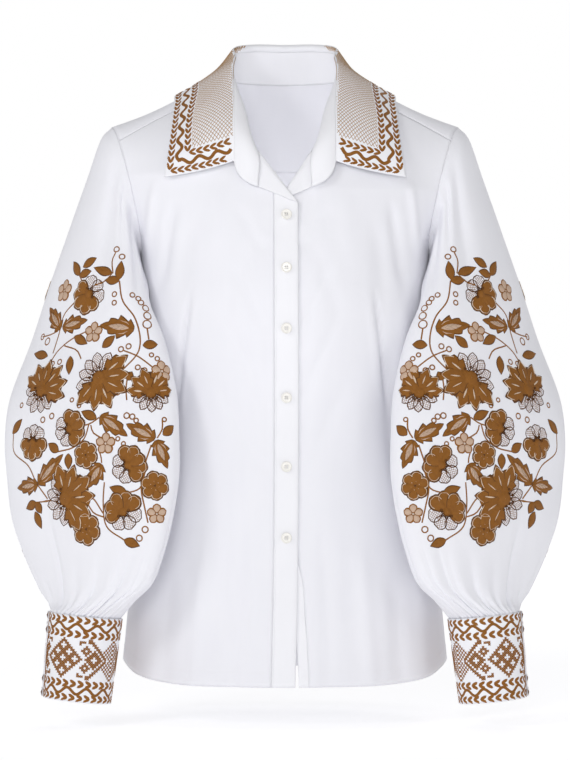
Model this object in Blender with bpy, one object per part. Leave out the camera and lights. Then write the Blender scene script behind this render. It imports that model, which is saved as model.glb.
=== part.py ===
"""A women's shirt with an open collar and balloon sleeves, standing hollow as if filled by a wearer.

Every cloth piece is a thin closed wall on a surface that is worked out from the tables below, in
millimetres. X points to the wearer's left, Y to the back and Z up. The origin lies between the
shoulders, at the height where the collar touches them. Tables give the side with x above zero, and
a piece of the other side is the same surface with x turned round.
"""

import math

import bpy
import numpy as np

MM = 0.001

# ---------------------------------------------------------------- cloth and seams
WALL = 1.2  # shirting with its ease
FIRM_WALL = 1.8  # collar, cuffs and button bands, two layers and interfacing
SEAM = 0.15  # half the space between two pieces that meet edge to edge
CORNER_SEAM = 0.95  # the same where two pieces meet at an angle
SLEEVE_SEAM = 1.8  # the same at the top of a sleeve, which turns sharply under the arm
LAYER = 3.2  # from one layer's middle to the next, where fronts or lapels lie on each other

# ---------------------------------------------------------------- torso
SIDE_Y = 2.0
ARMPIT_Z = -172.0
HEM_CENTRE_Z = -626.0
HEM_SIDE_RISE = 20.0
HEM_ROUNDING = 8  # power of the sine that rounds the hem up to the side seam

# height, half width at the side seam, depth of the centre front, depth of the centre back
TORSO = (
    (-650, 178, -113, 112),
    (-606, 174, -113, 111),
    (-556, 169.5, -112, 109),
    (-430, 155, -106, 96),
    (-340, 147, -104, 85),
    (-250, 156, -117, 95),
    (-200, 157, -118, 99),
    (-172, 155, -114, 100),
    (-134, 155, -106, 99),
    (-110, 155, -100.5, 97),
    (-85, 155, -94, 93),
    (-55, 155, -87, 86),
)

# soft folds of the fronts: x and height where each starts and ends, its half width, its depth
FRONT_FOLDS = (
    (98, -205, 112, -400, 9, 3.0),
    (128, -300, 132, -560, 14, 4.0),
    (60, -360, 76, -610, 18, 2.5),
)

# ---------------------------------------------------------------- armhole, an ellipse in space
ARMHOLE_CENTRE = np.array((171.0, 4.0, -102.5))
ARMHOLE_UP = np.array((16.0, 2.0, 69.5))
ARMHOLE_FORWARD = np.array((-8.0, -46.0, 0.0))
YOKE_FRONT_TURN = math.radians(41)  # where the yoke's front seam meets the armhole, from its top
YOKE_BACK_TURN = math.radians(-66.7)
FLAT_OPENING = math.radians(60)  # how far round its ellipse a row of the upper chest reaches

# ---------------------------------------------------------------- button bands and lapels
BAND_WIDTH = 25.0
UNDER_BAND_WIDTH = 10.5
BAND_TIP = 1.5  # width left at the top, where the roll line cuts a band off
# height, x of the seam between the right front and its band (towards the wearer's right)
RIGHT_SEAM = ((-650, 14.8), (-560, 12.6), (-470, 11.4), (-60, 11.4))
# height, x of the left front's free edge
LEFT_EDGE = (
    (-650, 15.5),
    (-626, 14.5),
    (-555, 10.4),
    (-508, 6.0),
    (-470, -6.0),
    (-440, -8.0),
    (-60, -8.0),
)
NECK_POINT = (28.0, -65.5)  # x and height where the roll line reaches the neck seam
LAPEL_POINT = (28.0, -104.0)  # x and height of the turned-out corner under the stand's end
RIGHT_BREAK = (-13.5, -121.0)  # where the right front starts to turn out
LEFT_BREAK = (-8.0, -120.0)

# ---------------------------------------------------------------- collar
# station, then x, y, z of the neck seam, the stand's middle, the fold, the leaf's crown and its edge
COLLAR = (
    (0, 0, 66, 19, 0, 64, 38, 0, 59, 55, 0, 75, 36, 0, 82, -1),
    (1, 40, 60, 20, 37, 58, 38, 34, 54, 55, 43, 70, 35, 50, 78, -4),
    (2, 64, 38, 20, 59, 36, 36, 56, 34, 50, 72, 48, 28, 86, 62, -10),
    (3, 73, 12, 16, 63, 8, 27, 57, 6, 38, 81, 11, 24, 116, 14, 2),
    (4, 69, -14, 0, 55, -22, 8, 56, -22, 21, 82, -20, 10, 119, -18, -12),
    (5, 54, -50, -32, 41, -60, -26, 54, -58, -12, 84, -53, -18, 121, -52, -44),
    (6, 29, -90, -66, 38, -93, -57, 53.5, -85, -45, 86, -77, -52, 124, -72, -72),
    (7, 28, -102, -104, 45, -100, -95, 52.5, -93, -79, 88, -88, -86, 127, -77, -92),
)
SEAM_COLUMN, STAND_COLUMN, FOLD_COLUMN, CROWN_COLUMN, EDGE_COLUMN = range(5)
LAST_STATION = 7
FOLD_RISE = 7.2  # how far the leaf starts above the stand where it turns right over
NECK_POINT_STATION = 6
YOKE_STATION = 4  # where the yoke's front seam leaves the neck seam

# ---------------------------------------------------------------- yoke
YOKE_BACK_Z = -75.0
# station, then x, y, z of its neck or front edge, of the shoulder's ridge, and x of its back edge
YOKE = (
    (0, 0, 66, 19, 0, 79, -20, 0),
    (1, 40, 60, 20, 42, 75, -18, 40),
    (2, 64, 38, 20, 70, 60, -7, 72),
    (3, 73, 12, 16, 86, 42, -7, 96),
    (4, 69, -14, 0, 97, 18, 2, 112),
    (5, 98, -17, -8, 118, 18, -9, 130),
    (6, 135, -21, -26, 150, 14, -23, 152),
    (7, 177.9, -24.7, -50, 187, 6, -33, 184.7),
)

# ---------------------------------------------------------------- sleeve
# station, x, y, z of its outer line, x, y, z of its inner line, then half its depth as a vector
SLEEVE = (
    (0, 187, 6, -33, 155, 2, -172, -8, -46, 0),
    (1, 199, 6, -47, 164, 2, -178, -8, -49, -2),
    (2, 212, 3, -88, 163, -4, -190, -14, -54, -4),
    (3, 226, -3, -133, 151, -18, -207, -20, -56, -4),
    (4, 244, -14, -197, 151, -42, -228, -30, -58, -2),
    (5, 265, -18, -263, 135, -62, -264, -34, -60, 0),
    (6, 288, -28, -325, 121, -80, -318, -36, -61, 0),
    (7, 293, -34, -370, 118, -92, -369, -38, -62, 0),
    (8, 290, -38, -413, 118, -98, -405, -38, -62, 0),
    (9, 285, -44, -455, 121, -102, -440, -36, -60, 0),
    (10, 272, -52, -495, 128, -104, -479, -30, -55, 0),
    (11, 259, -62, -525, 138, -102, -515, -20, -48, 0),
    (12, 251, -70, -541, 156, -96, -536, -10, -41, 1),
    (13, 246.2, -80, -547.5, 171.8, -80, -555.5, 0, -35.2, 1.2),
)
BODY_CLEARANCE = 5.0  # how far the middle of a sleeve's wall keeps from the middle of the body's
SLEEVE_LAST = 13
GATHERS = 14
GATHER_DEPTH = 1.6
GATHER_START = 10.2  # station where the gathers above the cuff begin
# soft folds of the sleeve: turn round the tube in degrees, first and last station, half width, depth
SLEEVE_FOLDS = (
    (62, 0.6, 4.5, 16, 4.0),
    (112, 0.8, 3.6, 14, 3.0),
    (250, 0.8, 4.8, 18, 3.5),
    (30, 8.5, 12.5, 12, 3.0),
    (150, 8.0, 12.5, 14, 3.5),
    (285, 8.2, 12.5, 14, 3.0),
)

# ---------------------------------------------------------------- cuff
CUFF_TOP = np.array((209.0, -80.0, -553.0))
CUFF_BOTTOM = np.array((218.5, -83.0, -642.0))
CUFF_TOP_RADIUS = 37.4
CUFF_BOTTOM_RADIUS = 34.6
CUFF_DEPTH_SHARE = 0.94  # front to back against side to side
CUFF_LAP_TURN = math.radians(66)  # middle of the lap, from the back towards the outer side
CUFF_LAP = math.radians(36)
CUFF_LAP_STEP = 2.6
CUFF_BUTTONS = (0.16, 0.5, 0.84)  # shares of the cuff's height

# ---------------------------------------------------------------- buttons
BUTTON_RADIUS = 5.6
BUTTON_THICKNESS = 2.2
BUTTON_DISH = 0.7
BUTTON_RIM = 1.5
BUTTON_HOLE_RADIUS = 0.8
BUTTON_HOLE_SPREAD = 1.5
BUTTON_X = 1.5
BUTTON_CLEARANCE = 0.7
BUTTON_HEIGHTS = (-134, -189.5, -252, -324, -396.5, -470.5)
CUFF_BUTTON_SCALE = 0.8

# ---------------------------------------------------------------- how finely each piece is divided
BODY_ROWS = 11
CHEST_ROWS = 4
SHOULDER_ROWS = 5
FRONT_COLUMNS = 10
BACK_COLUMNS = 14
BAND_COLUMNS = 2
LAPEL_ROWS = 5
LAPEL_COLUMNS = 3
COLLAR_STEPS = 28
STAND_ROWS = 4
LEAF_ROWS = 5
YOKE_STEPS = 14
YOKE_ROWS = 6
SLEEVE_RINGS = 17
SLEEVE_SIDES = 2 * GATHERS
CUFF_SIDES = 30
CUFF_ROWS = 4

# ---------------------------------------------------------------- finishes: colour, roughness, metallic
WHITE_COTTON = ("white_cotton", (0.83, 0.83, 0.86), 0.82, 0.0)
EMBROIDERED_COTTON = ("embroidered_cotton", (0.58, 0.42, 0.29), 0.75, 0.0)
IVORY_PLASTIC = ("ivory_plastic", (0.85, 0.82, 0.74), 0.3, 0.0)


def smooth(share):
    """0 below 0, 1 above 1 and a soft S between."""
    share = min(max(share, 0.0), 1.0)
    return share * share * (3 - 2 * share)


def table_at(table, at):
    """The columns of a table at a place between its rows, on a smooth curve through them."""
    rows = np.array(table, float)
    rows = rows[np.argsort(rows[:, 0])]
    places, values = rows[:, 0], rows[:, 1:]
    at = min(max(at, places[0]), places[-1])
    slopes = np.gradient(values, places, axis=0)
    row = min(int(np.searchsorted(places, at, side="right")) - 1, len(places) - 2)
    width = places[row + 1] - places[row]
    t = (at - places[row]) / width
    start, end = values[row], values[row + 1]
    return (
        start * (2 * t**3 - 3 * t**2 + 1)
        + slopes[row] * width * (t**3 - 2 * t**2 + t)
        + end * (3 * t**2 - 2 * t**3)
        + slopes[row + 1] * width * (t**3 - t**2)
    )


def both_sides(table):
    """A table of one side, with its mirror image at negative stations. Every third column is an x."""
    mirrored = []
    for station, *values in table[1:]:
        turned = [-v if place % 3 == 0 else v for place, v in enumerate(values)]
        mirrored.append((-station, *turned))
    return tuple(reversed(mirrored)) + tuple(table)


WHOLE_COLLAR = both_sides(COLLAR)
WHOLE_YOKE = both_sides(YOKE)


def through(a, b, c, t):
    """A point of the curve that runs from a at 0 through b at a half to c at 1."""
    return a * (1 - t) * (1 - 2 * t) + b * 4 * t * (1 - t) + c * t * (2 * t - 1)


def unit(vector):
    return vector / np.linalg.norm(vector)


# ---------------------------------------------------------------- surfaces


def armhole(turn):
    """A point of the armhole, from its top, towards the front."""
    return ARMHOLE_CENTRE + ARMHOLE_UP * math.cos(turn) + ARMHOLE_FORWARD * math.sin(turn)


def armhole_turn(z):
    """The turn at which the armhole's front side has this height."""
    share = (z - ARMHOLE_CENTRE[2]) / ARMHOLE_UP[2]
    return math.acos(min(max(share, -1.0), 1.0))


def hem_height(angle):
    return HEM_CENTRE_Z + HEM_SIDE_RISE * abs(math.sin(angle)) ** HEM_ROUNDING


def fold_depth(x, z):
    """How far the soft folds push the front in at this place."""
    depth = 0.0
    for x_top, z_top, x_end, z_end, half_width, most in FRONT_FOLDS:
        share = (z - z_top) / (z_end - z_top)
        if not 0 < share < 1:
            continue
        off = (x - x_top - (x_end - x_top) * share) / half_width
        depth += most * math.exp(-off * off) * math.sin(math.pi * share) ** 0.7
    return depth


def torso(angle, z):
    """The body below the armpits: an angle of 0 is the centre front and pi the centre back."""
    half_width, front, back = table_at(TORSO, z)
    x = half_width * math.sin(angle)
    if math.cos(angle) < 0:
        return np.array((x, SIDE_Y - (back - SIDE_Y) * math.cos(angle), z))
    y = SIDE_Y + (front - SIDE_Y) * math.cos(angle)
    return np.array((x, y + fold_depth(x, z) * smooth(2 * math.cos(angle)), z))


def front_angle(x, z):
    return math.asin(x / table_at(TORSO, z)[0])


def chest_edge(z, front=True):
    """The armhole's point of this height, and how far round its ellipse a row reaches there."""
    turn = armhole_turn(z)
    edge = armhole(turn if front else -turn)
    climb = (z - ARMPIT_Z) / (ARMHOLE_CENTRE[2] + ARMHOLE_UP[2] - ARMPIT_Z)
    reach = math.pi / 2 + (FLAT_OPENING - math.pi / 2) * min(climb * 2, 1.0) ** 0.8
    return edge, reach


def chest(x, z, front=True):
    """The body between the armpits and the shoulders, as a surface over x and height."""
    edge, reach = chest_edge(z, front)
    centre = table_at(TORSO, z)[1 if front else 2]
    turn = math.asin(min(max(x * math.sin(reach) / edge[0], -1.0), 1.0))
    share = (1 - math.cos(turn)) / (1 - math.cos(reach))
    return np.array((x, centre + (edge[1] - centre) * share, z))


def chest_row(x_start, z, u, front=True):
    """A point of one row of the chest, from x_start to the armhole."""
    edge, reach = chest_edge(z, front)
    first = math.asin(x_start * math.sin(reach) / edge[0])
    turn = first + (reach - first) * u
    point = chest(edge[0] * math.sin(turn) / math.sin(reach), z, front)
    return point


def coons(bottom, top, left, right, u, v):
    """The patch between four curves, each a function from 0 to 1."""
    across = bottom(u) * (1 - v) + top(u) * v
    along = left(v) * (1 - u) + right(v) * u
    corners = (
        bottom(0) * (1 - u) * (1 - v)
        + bottom(1) * u * (1 - v)
        + top(0) * (1 - u) * v
        + top(1) * u * v
    )
    return across + along - corners


def collar_point(column, station):
    values = table_at(WHOLE_COLLAR, station)
    return values[3 * column : 3 * column + 3]


def neck_edge(station):
    """The body's own edge at the neck seam, below the stand where the stand turns out."""
    point = collar_point(SEAM_COLUMN, station).copy()
    point[1] += 3.0 * smooth((abs(station) - 4.2) / 1.6)
    return point


def yoke_point(station, t):
    """A point of the yoke, from its neck or front edge at a t of 0 to its back edge at 1."""
    values = table_at(WHOLE_YOKE, station)
    point = through(values[0:3], values[3:6], yoke_back(values[6]), t)
    # each end follows the armhole itself
    end = np.array(YOKE[-1][1:], float)
    wanted = armhole(YOKE_FRONT_TURN + (YOKE_BACK_TURN - YOKE_FRONT_TURN) * t)
    off = wanted - through(end[0:3], end[3:6], yoke_back(end[6]), t)
    off[0] *= 1 if station > 0 else -1
    return point + off * (abs(station) / LAST_STATION) ** 4


def yoke_back(x):
    return chest(x, YOKE_BACK_Z, front=False)


def sink(x, z):
    """How far the left front lies behind the right one, near the centre."""
    depth = LAYER * (1 + 0.9 * smooth((z + 150) / 25))
    return depth * (1 - smooth((x - 15) / 22))


def front_grid(seam_of, start, left):
    """The points of one front, row by row from the hem, each row from its band to the side."""
    roll = np.array(NECK_POINT) - np.array(start)
    reach_z = start[1]
    for _ in range(20):
        reach_z = start[1] + roll[1] * (seam_of(reach_z) - start[0]) / roll[0]
    rows = []
    for row in range(BODY_ROWS):
        points = []
        for column in range(FRONT_COLUMNS + 1):
            u = column / FRONT_COLUMNS
            rise = row / BODY_ROWS
            z = hem_height(0) * (1 - rise) + ARMPIT_Z * rise
            for _ in range(3):
                first = front_angle(seam_of(z), z)
                angle = first + (math.pi / 2 - first) * u
                z = hem_height(angle) * (1 - rise) + ARMPIT_Z * rise
            points.append(torso(angle, z))
        rows.append(points)
    for row in range(CHEST_ROWS):
        z = ARMPIT_Z + (reach_z - ARMPIT_Z) * row / CHEST_ROWS
        first = seam_of(z)
        columns = range(FRONT_COLUMNS + 1)
        rows.append([chest_row(first, z, c / FRONT_COLUMNS) for c in columns])

    def bottom(u):
        return chest_row(seam_of(reach_z), reach_z, u)

    def top(u):
        if u < 0.5:
            return neck_edge(NECK_POINT_STATION - (NECK_POINT_STATION - YOKE_STATION) * 2 * u)
        return yoke_point(YOKE_STATION + (LAST_STATION - YOKE_STATION) * (2 * u - 1), 0)

    def roll_side(v):
        x = seam_of(reach_z) + (NECK_POINT[0] - seam_of(reach_z)) * v
        z = reach_z + (NECK_POINT[1] - reach_z) * v
        level = chest(x, z)
        return level + (top(0) - chest(*NECK_POINT)) * v

    def arm_side(v):
        first = armhole_turn(reach_z)
        return armhole(first + (YOKE_FRONT_TURN - first) * v)

    for row in range(SHOULDER_ROWS + 1):
        v = row / SHOULDER_ROWS
        points = []
        for column in range(FRONT_COLUMNS + 1):
            u = column / FRONT_COLUMNS
            point = coons(bottom, top, roll_side, arm_side, u, v)
            crown = 8 * math.sin(math.pi * u) * math.sin(math.pi * v)
            points.append(point + np.array((0, -0.75, 0.65)) * crown)
        rows.append(points)
    grid = np.array(rows)
    if left:
        for point in grid.reshape(-1, 3):
            point[1] += sink(point[0], point[2])
    return grid


def band_grid(front, outer_of, break_at, left):
    """A band along a front's edge, from that front's own points, cut off along the roll line."""
    tip_x, tip_z = break_at
    slope = (NECK_POINT[1] - tip_z) / (NECK_POINT[0] - tip_x)
    rows = []
    for seam in front[: BODY_ROWS + CHEST_ROWS + 1, 0]:
        x_seam, z = seam[0], seam[2]
        outer = outer_of(z)
        if z > tip_z:
            outer = min(tip_x + (z - tip_z) / slope, x_seam - BAND_TIP)
        points = []
        for column in range(BAND_COLUMNS + 1):
            x = outer + (x_seam - outer) * column / BAND_COLUMNS
            if z < ARMPIT_Z:
                point = torso(front_angle(x, z), z)
            else:
                point = chest(x, z)
            if left:
                point[1] += sink(x, z)
            points.append(point)
        rows.append(points)
    return np.array(rows)


def lapel_grid(break_at, left):
    """The turned-out corner of a front, lying on it from the roll line to the stand's end."""
    rows = []
    for row in range(LAPEL_ROWS + 1):
        v = 0.05 + 0.95 * row / LAPEL_ROWS
        points = []
        for column in range(LAPEL_COLUMNS + 1):
            u = column / LAPEL_COLUMNS
            end = np.array(NECK_POINT) * (1 - u) + np.array(LAPEL_POINT) * u
            x, z = np.array(break_at) * (1 - v) + end * v
            point = chest(x, z)
            if left:
                point[1] += sink(x, z)
            point[1] -= LAYER * (0.95 + 0.25 * math.sin(math.pi * u / 2))
            points.append(point)
        rows.append(points)
    return np.array(rows)


def back_grid():
    """The back, from the hem up to the yoke, from the wearer's right side seam to the left one."""
    half = BACK_COLUMNS // 2
    rows = []
    for row in range(BODY_ROWS):
        rise = row / BODY_ROWS
        points = []
        for column in range(BACK_COLUMNS + 1):
            angle = math.pi / 2 * (1 - column / half) + math.pi
            z = hem_height(angle) * (1 - rise) + ARMPIT_Z * rise
            points.append(torso(angle, z))
        rows.append(points)
    steps = CHEST_ROWS + SHOULDER_ROWS
    for row in range(steps + 1):
        z = ARMPIT_Z + (YOKE_BACK_Z - ARMPIT_Z) * row / steps
        edge, reach = chest_edge(z, front=False)
        points = []
        for column in range(BACK_COLUMNS + 1):
            turn = reach * (column / half - 1)
            points.append(chest(edge[0] * math.sin(turn) / math.sin(reach), z, front=False))
        rows.append(points)
    return np.array(rows)


def yoke_grid():
    rows = []
    for row in range(YOKE_ROWS + 1):
        points = []
        for step in range(YOKE_STEPS + 1):
            station = (2 * step / YOKE_STEPS - 1) * LAST_STATION
            points.append(yoke_point(station, 1 - row / YOKE_ROWS))
        rows.append(points)
    return np.array(rows)


def stand_grid():
    """The stand, from the neck seam up to the fold, from one end to the other."""
    rows = []
    for row in range(STAND_ROWS + 1):
        t = row / STAND_ROWS
        points = []
        for step in range(COLLAR_STEPS + 1):
            station = (2 * step / COLLAR_STEPS - 1) * LAST_STATION
            a, b, c = (
                collar_point(column, station)
                for column in (SEAM_COLUMN, STAND_COLUMN, FOLD_COLUMN)
            )
            points.append(through(a, b, c, t))
        rows.append(points)
    return np.array(rows)


def leaf_grid():
    """The leaf, from the fold to its outer edge. At the back it starts above the stand."""
    rows = []
    for row in range(LEAF_ROWS + 1):
        t = row / LEAF_ROWS
        points = []
        for step in range(COLLAR_STEPS + 1):
            station = (2 * step / COLLAR_STEPS - 1) * LAST_STATION
            middle, fold, crown, edge = (
                collar_point(column, station)
                for column in (STAND_COLUMN, FOLD_COLUMN, CROWN_COLUMN, EDGE_COLUMN)
            )
            rise = unit(fold - middle)
            turned = (1 - float(np.dot(rise, unit(crown - fold)))) / 2
            first = fold + rise * (2 * SEAM + FOLD_RISE * turned)
            points.append(through(first, crown, edge, t))
        rows.append(points)
    return np.array(rows)


def sleeve_point(station, turn):
    """A point of the sleeve: a turn of 0 is its outer line, and a quarter turn its front."""
    values = table_at(SLEEVE, station)
    outer, inner, forward = values[0:3], values[3:6], values[6:9]
    centre = (outer + inner) / 2
    across = (outer - inner) / 2
    degrees = math.degrees(turn) % 360
    depth = 0.0
    for at, first, last, half_width, most in SLEEVE_FOLDS:
        share = (station - first) / (last - first)
        if not 0 < share < 1:
            continue
        off = ((degrees - at + 180) % 360 - 180) / half_width
        depth += most * math.exp(-off * off) * math.sin(math.pi * share)
    gather = smooth((station - GATHER_START) / 2.0) * GATHER_DEPTH
    depth += gather * (1 + math.cos(GATHERS * turn)) * (1 if station < SLEEVE_LAST else 0.5)
    shape = across * math.cos(turn) + forward * math.sin(turn)
    return clear_of_body(centre + shape * (1 - depth / np.linalg.norm(shape)), station)


def clear_of_body(point, station):
    """A sleeve's point, moved out to where it lies against the side of the body."""
    clearance = BODY_CLEARANCE * smooth(station)
    half_width, front, back = table_at(TORSO, min(point[2], ARMPIT_Z))
    off = point[:2] - np.array((0.0, SIDE_Y))
    depth = SIDE_Y - front if off[1] < 0 else back - SIDE_Y
    share = math.hypot(off[0] / (half_width + clearance), off[1] / (depth + clearance))
    if share < 1 and point[2] < ARMPIT_Z:
        off = off / share
    return np.array((off[0], off[1] + SIDE_Y, point[2]))


def sleeve_grid():
    rows = []
    for ring in range(SLEEVE_RINGS + 1):
        share = ring / SLEEVE_RINGS
        station = SLEEVE_LAST * share
        row = []
        for side in range(SLEEVE_SIDES):
            row.append(sleeve_point(station, 2 * math.pi * side / SLEEVE_SIDES))
        rows.append(row)
    return np.array(rows)


def cuff_frame():
    """The cuff's own axes: down its length, to its outer side, and to the front."""
    down = unit(CUFF_BOTTOM - CUFF_TOP)
    outer = unit(np.cross(down, np.array((0.0, 1.0, 0.0))))
    outer *= 1 if outer[0] > 0 else -1
    front = np.cross(outer, down)
    front *= 1 if front[1] < 0 else -1
    return down, outer, front


def cuff_point(share, turn, step=0.0):
    """A point of the cuff: share of its length from the top, turn from the outer side to the front."""
    _, outer, front = cuff_frame()
    centre = CUFF_TOP * (1 - share) + CUFF_BOTTOM * share
    radius = CUFF_TOP_RADIUS * (1 - share) + CUFF_BOTTOM_RADIUS * share + step
    across = outer * math.cos(turn) + front * math.sin(turn) * CUFF_DEPTH_SHARE
    return centre + across * radius


def cuff_grid():
    """One strip wound once round the wrist, whose end laps over its start."""
    rows = []
    lap_middle = -math.pi / 2 + CUFF_LAP_TURN
    first = lap_middle - CUFF_LAP / 2
    whole = 2 * math.pi + CUFF_LAP
    for row in range(CUFF_ROWS + 1):
        points = []
        for side in range(CUFF_SIDES + 1):
            wound = whole * side / CUFF_SIDES
            lifted = CUFF_LAP_STEP * smooth((wound - 2 * math.pi + 0.35) / 0.35)
            points.append(cuff_point(row / CUFF_ROWS, first + wound, lifted))
        rows.append(points)
    return np.array(rows)


# ---------------------------------------------------------------- making solids


def inset(grid, first_row=0.0, last_row=0.0, first_column=0.0, last_column=0.0):
    """Draws a grid's border in along its own surface, so that pieces keep a space at their seams."""
    grid = grid.copy()

    def drawn(border, inner, by):
        step = inner - border
        return border + step * (by / np.linalg.norm(step, axis=1, keepdims=True))

    if first_row:
        grid[0] = drawn(grid[0], grid[1], first_row)
    if last_row:
        grid[-1] = drawn(grid[-1], grid[-2], last_row)
    if first_column:
        grid[:, 0] = drawn(grid[:, 0], grid[:, 1], first_column)
    if last_column:
        grid[:, -1] = drawn(grid[:, -1], grid[:, -2], last_column)
    return grid


def material(finish):
    name, colour, roughness, metallic = finish
    made = bpy.data.materials.get(name)
    if made:
        return made
    made = bpy.data.materials.new(name)
    made.use_nodes = True
    shader = made.node_tree.nodes["Principled BSDF"]
    shader.inputs["Base Color"].default_value = (*colour, 1)
    shader.inputs["Roughness"].default_value = roughness
    shader.inputs["Metallic"].default_value = metallic
    made.diffuse_color = (*colour, 1)
    return made


def add_object(name, points, faces, finish):
    mesh = bpy.data.meshes.new(name)
    mesh.from_pydata([tuple(point * MM) for point in points], [], faces)
    mesh.materials.append(material(finish))
    made = bpy.data.objects.new(name, mesh)
    bpy.context.scene.collection.objects.link(made)
    mesh.shade_smooth()
    return made


def cloth(name, grid, wall, finish, x_sign=1, closed=False):
    """A closed wall on a grid of points, half its thickness to each side of them."""
    rows, columns = grid.shape[:2]
    points = grid.reshape(-1, 3) * np.array((x_sign, 1, 1))
    faces = []
    for row in range(rows - 1):
        for column in range(columns if closed else columns - 1):
            after = (column + 1) % columns
            face = [
                row * columns + column,
                row * columns + after,
                (row + 1) * columns + after,
                (row + 1) * columns + column,
            ]
            faces.append(face if x_sign > 0 else face[::-1])
    made = add_object(name, points, faces, finish)
    solidify = made.modifiers.new("wall", "SOLIDIFY")
    solidify.thickness = wall * MM
    solidify.offset = 0
    return made


def button(name, place, outward, scale=1.0):
    """A turned button with a raised rim and four holes, its back on the place given."""
    sides = 20
    radius = BUTTON_RADIUS * scale
    top = BUTTON_THICKNESS
    dish = top - BUTTON_DISH
    profile = (
        (radius - 0.8, 0.0),
        (radius, 0.9),
        (radius, top - 0.5),
        (radius - 0.5, top),
        (radius - BUTTON_RIM, dish),
    )
    ring = []
    for distance, height in profile:
        for side in range(sides):
            turn = 2 * math.pi * side / sides
            ring.append((distance * math.cos(turn), distance * math.sin(turn), height))
    faces = [list(reversed(range(sides)))]
    for level in range(len(profile) - 1):
        for side in range(sides):
            after = (side + 1) % sides
            low, high = level * sides, (level + 1) * sides
            faces.append([low + side, low + after, high + after, high + side])
    faces.append([(len(profile) - 1) * sides + side for side in range(sides)])
    up = unit(np.array(outward, float))
    across = unit(np.cross(np.array((0.0, 0.0, 1.0)), up))
    along = np.cross(up, across)
    frame = np.array((across, along, up))
    points = [np.array(place) + np.array(p) @ frame for p in ring]
    made = add_object(name, points, faces, IVORY_PLASTIC)
    made.data.set_sharp_from_angle(angle=math.radians(40))
    for number in range(4):
        turn = math.pi / 4 + number * math.pi / 2
        spread = BUTTON_HOLE_SPREAD * scale
        centre = np.array((spread * math.cos(turn), spread * math.sin(turn), 0.0))
        hole = []
        for height in (-1.0, top + 1.0):
            for side in range(8):
                round_it = 2 * math.pi * side / 8
                off = np.array((math.cos(round_it), math.sin(round_it), 0.0))
                local = centre + off * BUTTON_HOLE_RADIUS * scale
                local[2] = height
                hole.append(np.array(place) + local @ frame)
        hole_faces = [list(reversed(range(8))), list(range(8, 16))]
        for side in range(8):
            after = (side + 1) % 8
            hole_faces.append([side, after, 8 + after, 8 + side])
        cutter = add_object(f"{name}_hole_{number}", hole, hole_faces, IVORY_PLASTIC)
        cutter.hide_render = True
        cutter.display_type = "WIRE"
        cut = made.modifiers.new(f"hole_{number}", "BOOLEAN")
        cut.operation = "DIFFERENCE"
        cut.object = cutter
    return made


# ---------------------------------------------------------------- the shirt's pieces


def make_fronts():
    def right_seam(z):
        return float(table_at(RIGHT_SEAM, z)[0])

    def right_free(z):
        return right_seam(z) - BAND_WIDTH

    def left_free(z):
        return float(table_at(LEFT_EDGE, z)[0])

    def left_seam(z):
        return left_free(z) + UNDER_BAND_WIDTH

    edges = dict(first_column=SEAM, last_column=SEAM, last_row=CORNER_SEAM)
    for side, x_sign, seam_of, free_of, start in (
        ("right", -1, right_seam, right_free, RIGHT_BREAK),
        ("left", 1, left_seam, left_free, LEFT_BREAK),
    ):
        whole = front_grid(seam_of, start, side == "left")
        band = band_grid(whole, free_of, start, side == "left")
        panel = inset(whole, **edges)
        upper = panel[BODY_ROWS + 1 :]
        upper[:] = inset(upper, last_column=CORNER_SEAM)
        cloth(f"front_{side}", panel, WALL, WHITE_COTTON, x_sign)
        cloth(f"band_{side}", inset(band, last_column=SEAM), FIRM_WALL, WHITE_COTTON, x_sign)
    for name, place, left_side, x_sign in (
        ("lapel_right", RIGHT_BREAK, False, -1),
        ("lapel_left", LEFT_BREAK, True, 1),
    ):
        grid = inset(lapel_grid(place, left_side), last_row=SEAM, first_column=SEAM)
        cloth(name, grid, WALL, WHITE_COTTON, x_sign)


def make_back_and_yoke():
    grid = inset(back_grid(), last_row=SEAM, first_column=SEAM, last_column=SEAM)
    upper = grid[BODY_ROWS + 1 :]
    upper[:] = inset(upper, first_column=CORNER_SEAM, last_column=CORNER_SEAM)
    cloth("back", grid, WALL, WHITE_COTTON)
    ends = dict(first_column=CORNER_SEAM, last_column=CORNER_SEAM)
    cloth("yoke", inset(yoke_grid(), first_row=SEAM, **ends), WALL, WHITE_COTTON)


def make_collar():
    stand = inset(stand_grid(), first_row=CORNER_SEAM)
    cloth("collar_stand", stand, FIRM_WALL, WHITE_COTTON)
    cloth("collar_leaf", leaf_grid(), FIRM_WALL, EMBROIDERED_COTTON)


def make_sleeves():
    grid = inset(sleeve_grid(), first_row=SLEEVE_SEAM, last_row=CORNER_SEAM)
    cuff = inset(cuff_grid(), first_row=SEAM)
    for side, x_sign in (("right", -1), ("left", 1)):
        cloth(f"sleeve_{side}", grid, WALL, EMBROIDERED_COTTON, x_sign, closed=True)
        cloth(f"cuff_{side}", cuff, FIRM_WALL, EMBROIDERED_COTTON, x_sign)


def front_middle(z):
    """The point of the closed front on the line of the buttons."""
    point = torso(front_angle(-BUTTON_X, z), z) if z < ARMPIT_Z else chest(-BUTTON_X, z)
    return point * np.array((-1, 1, 1))


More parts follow.
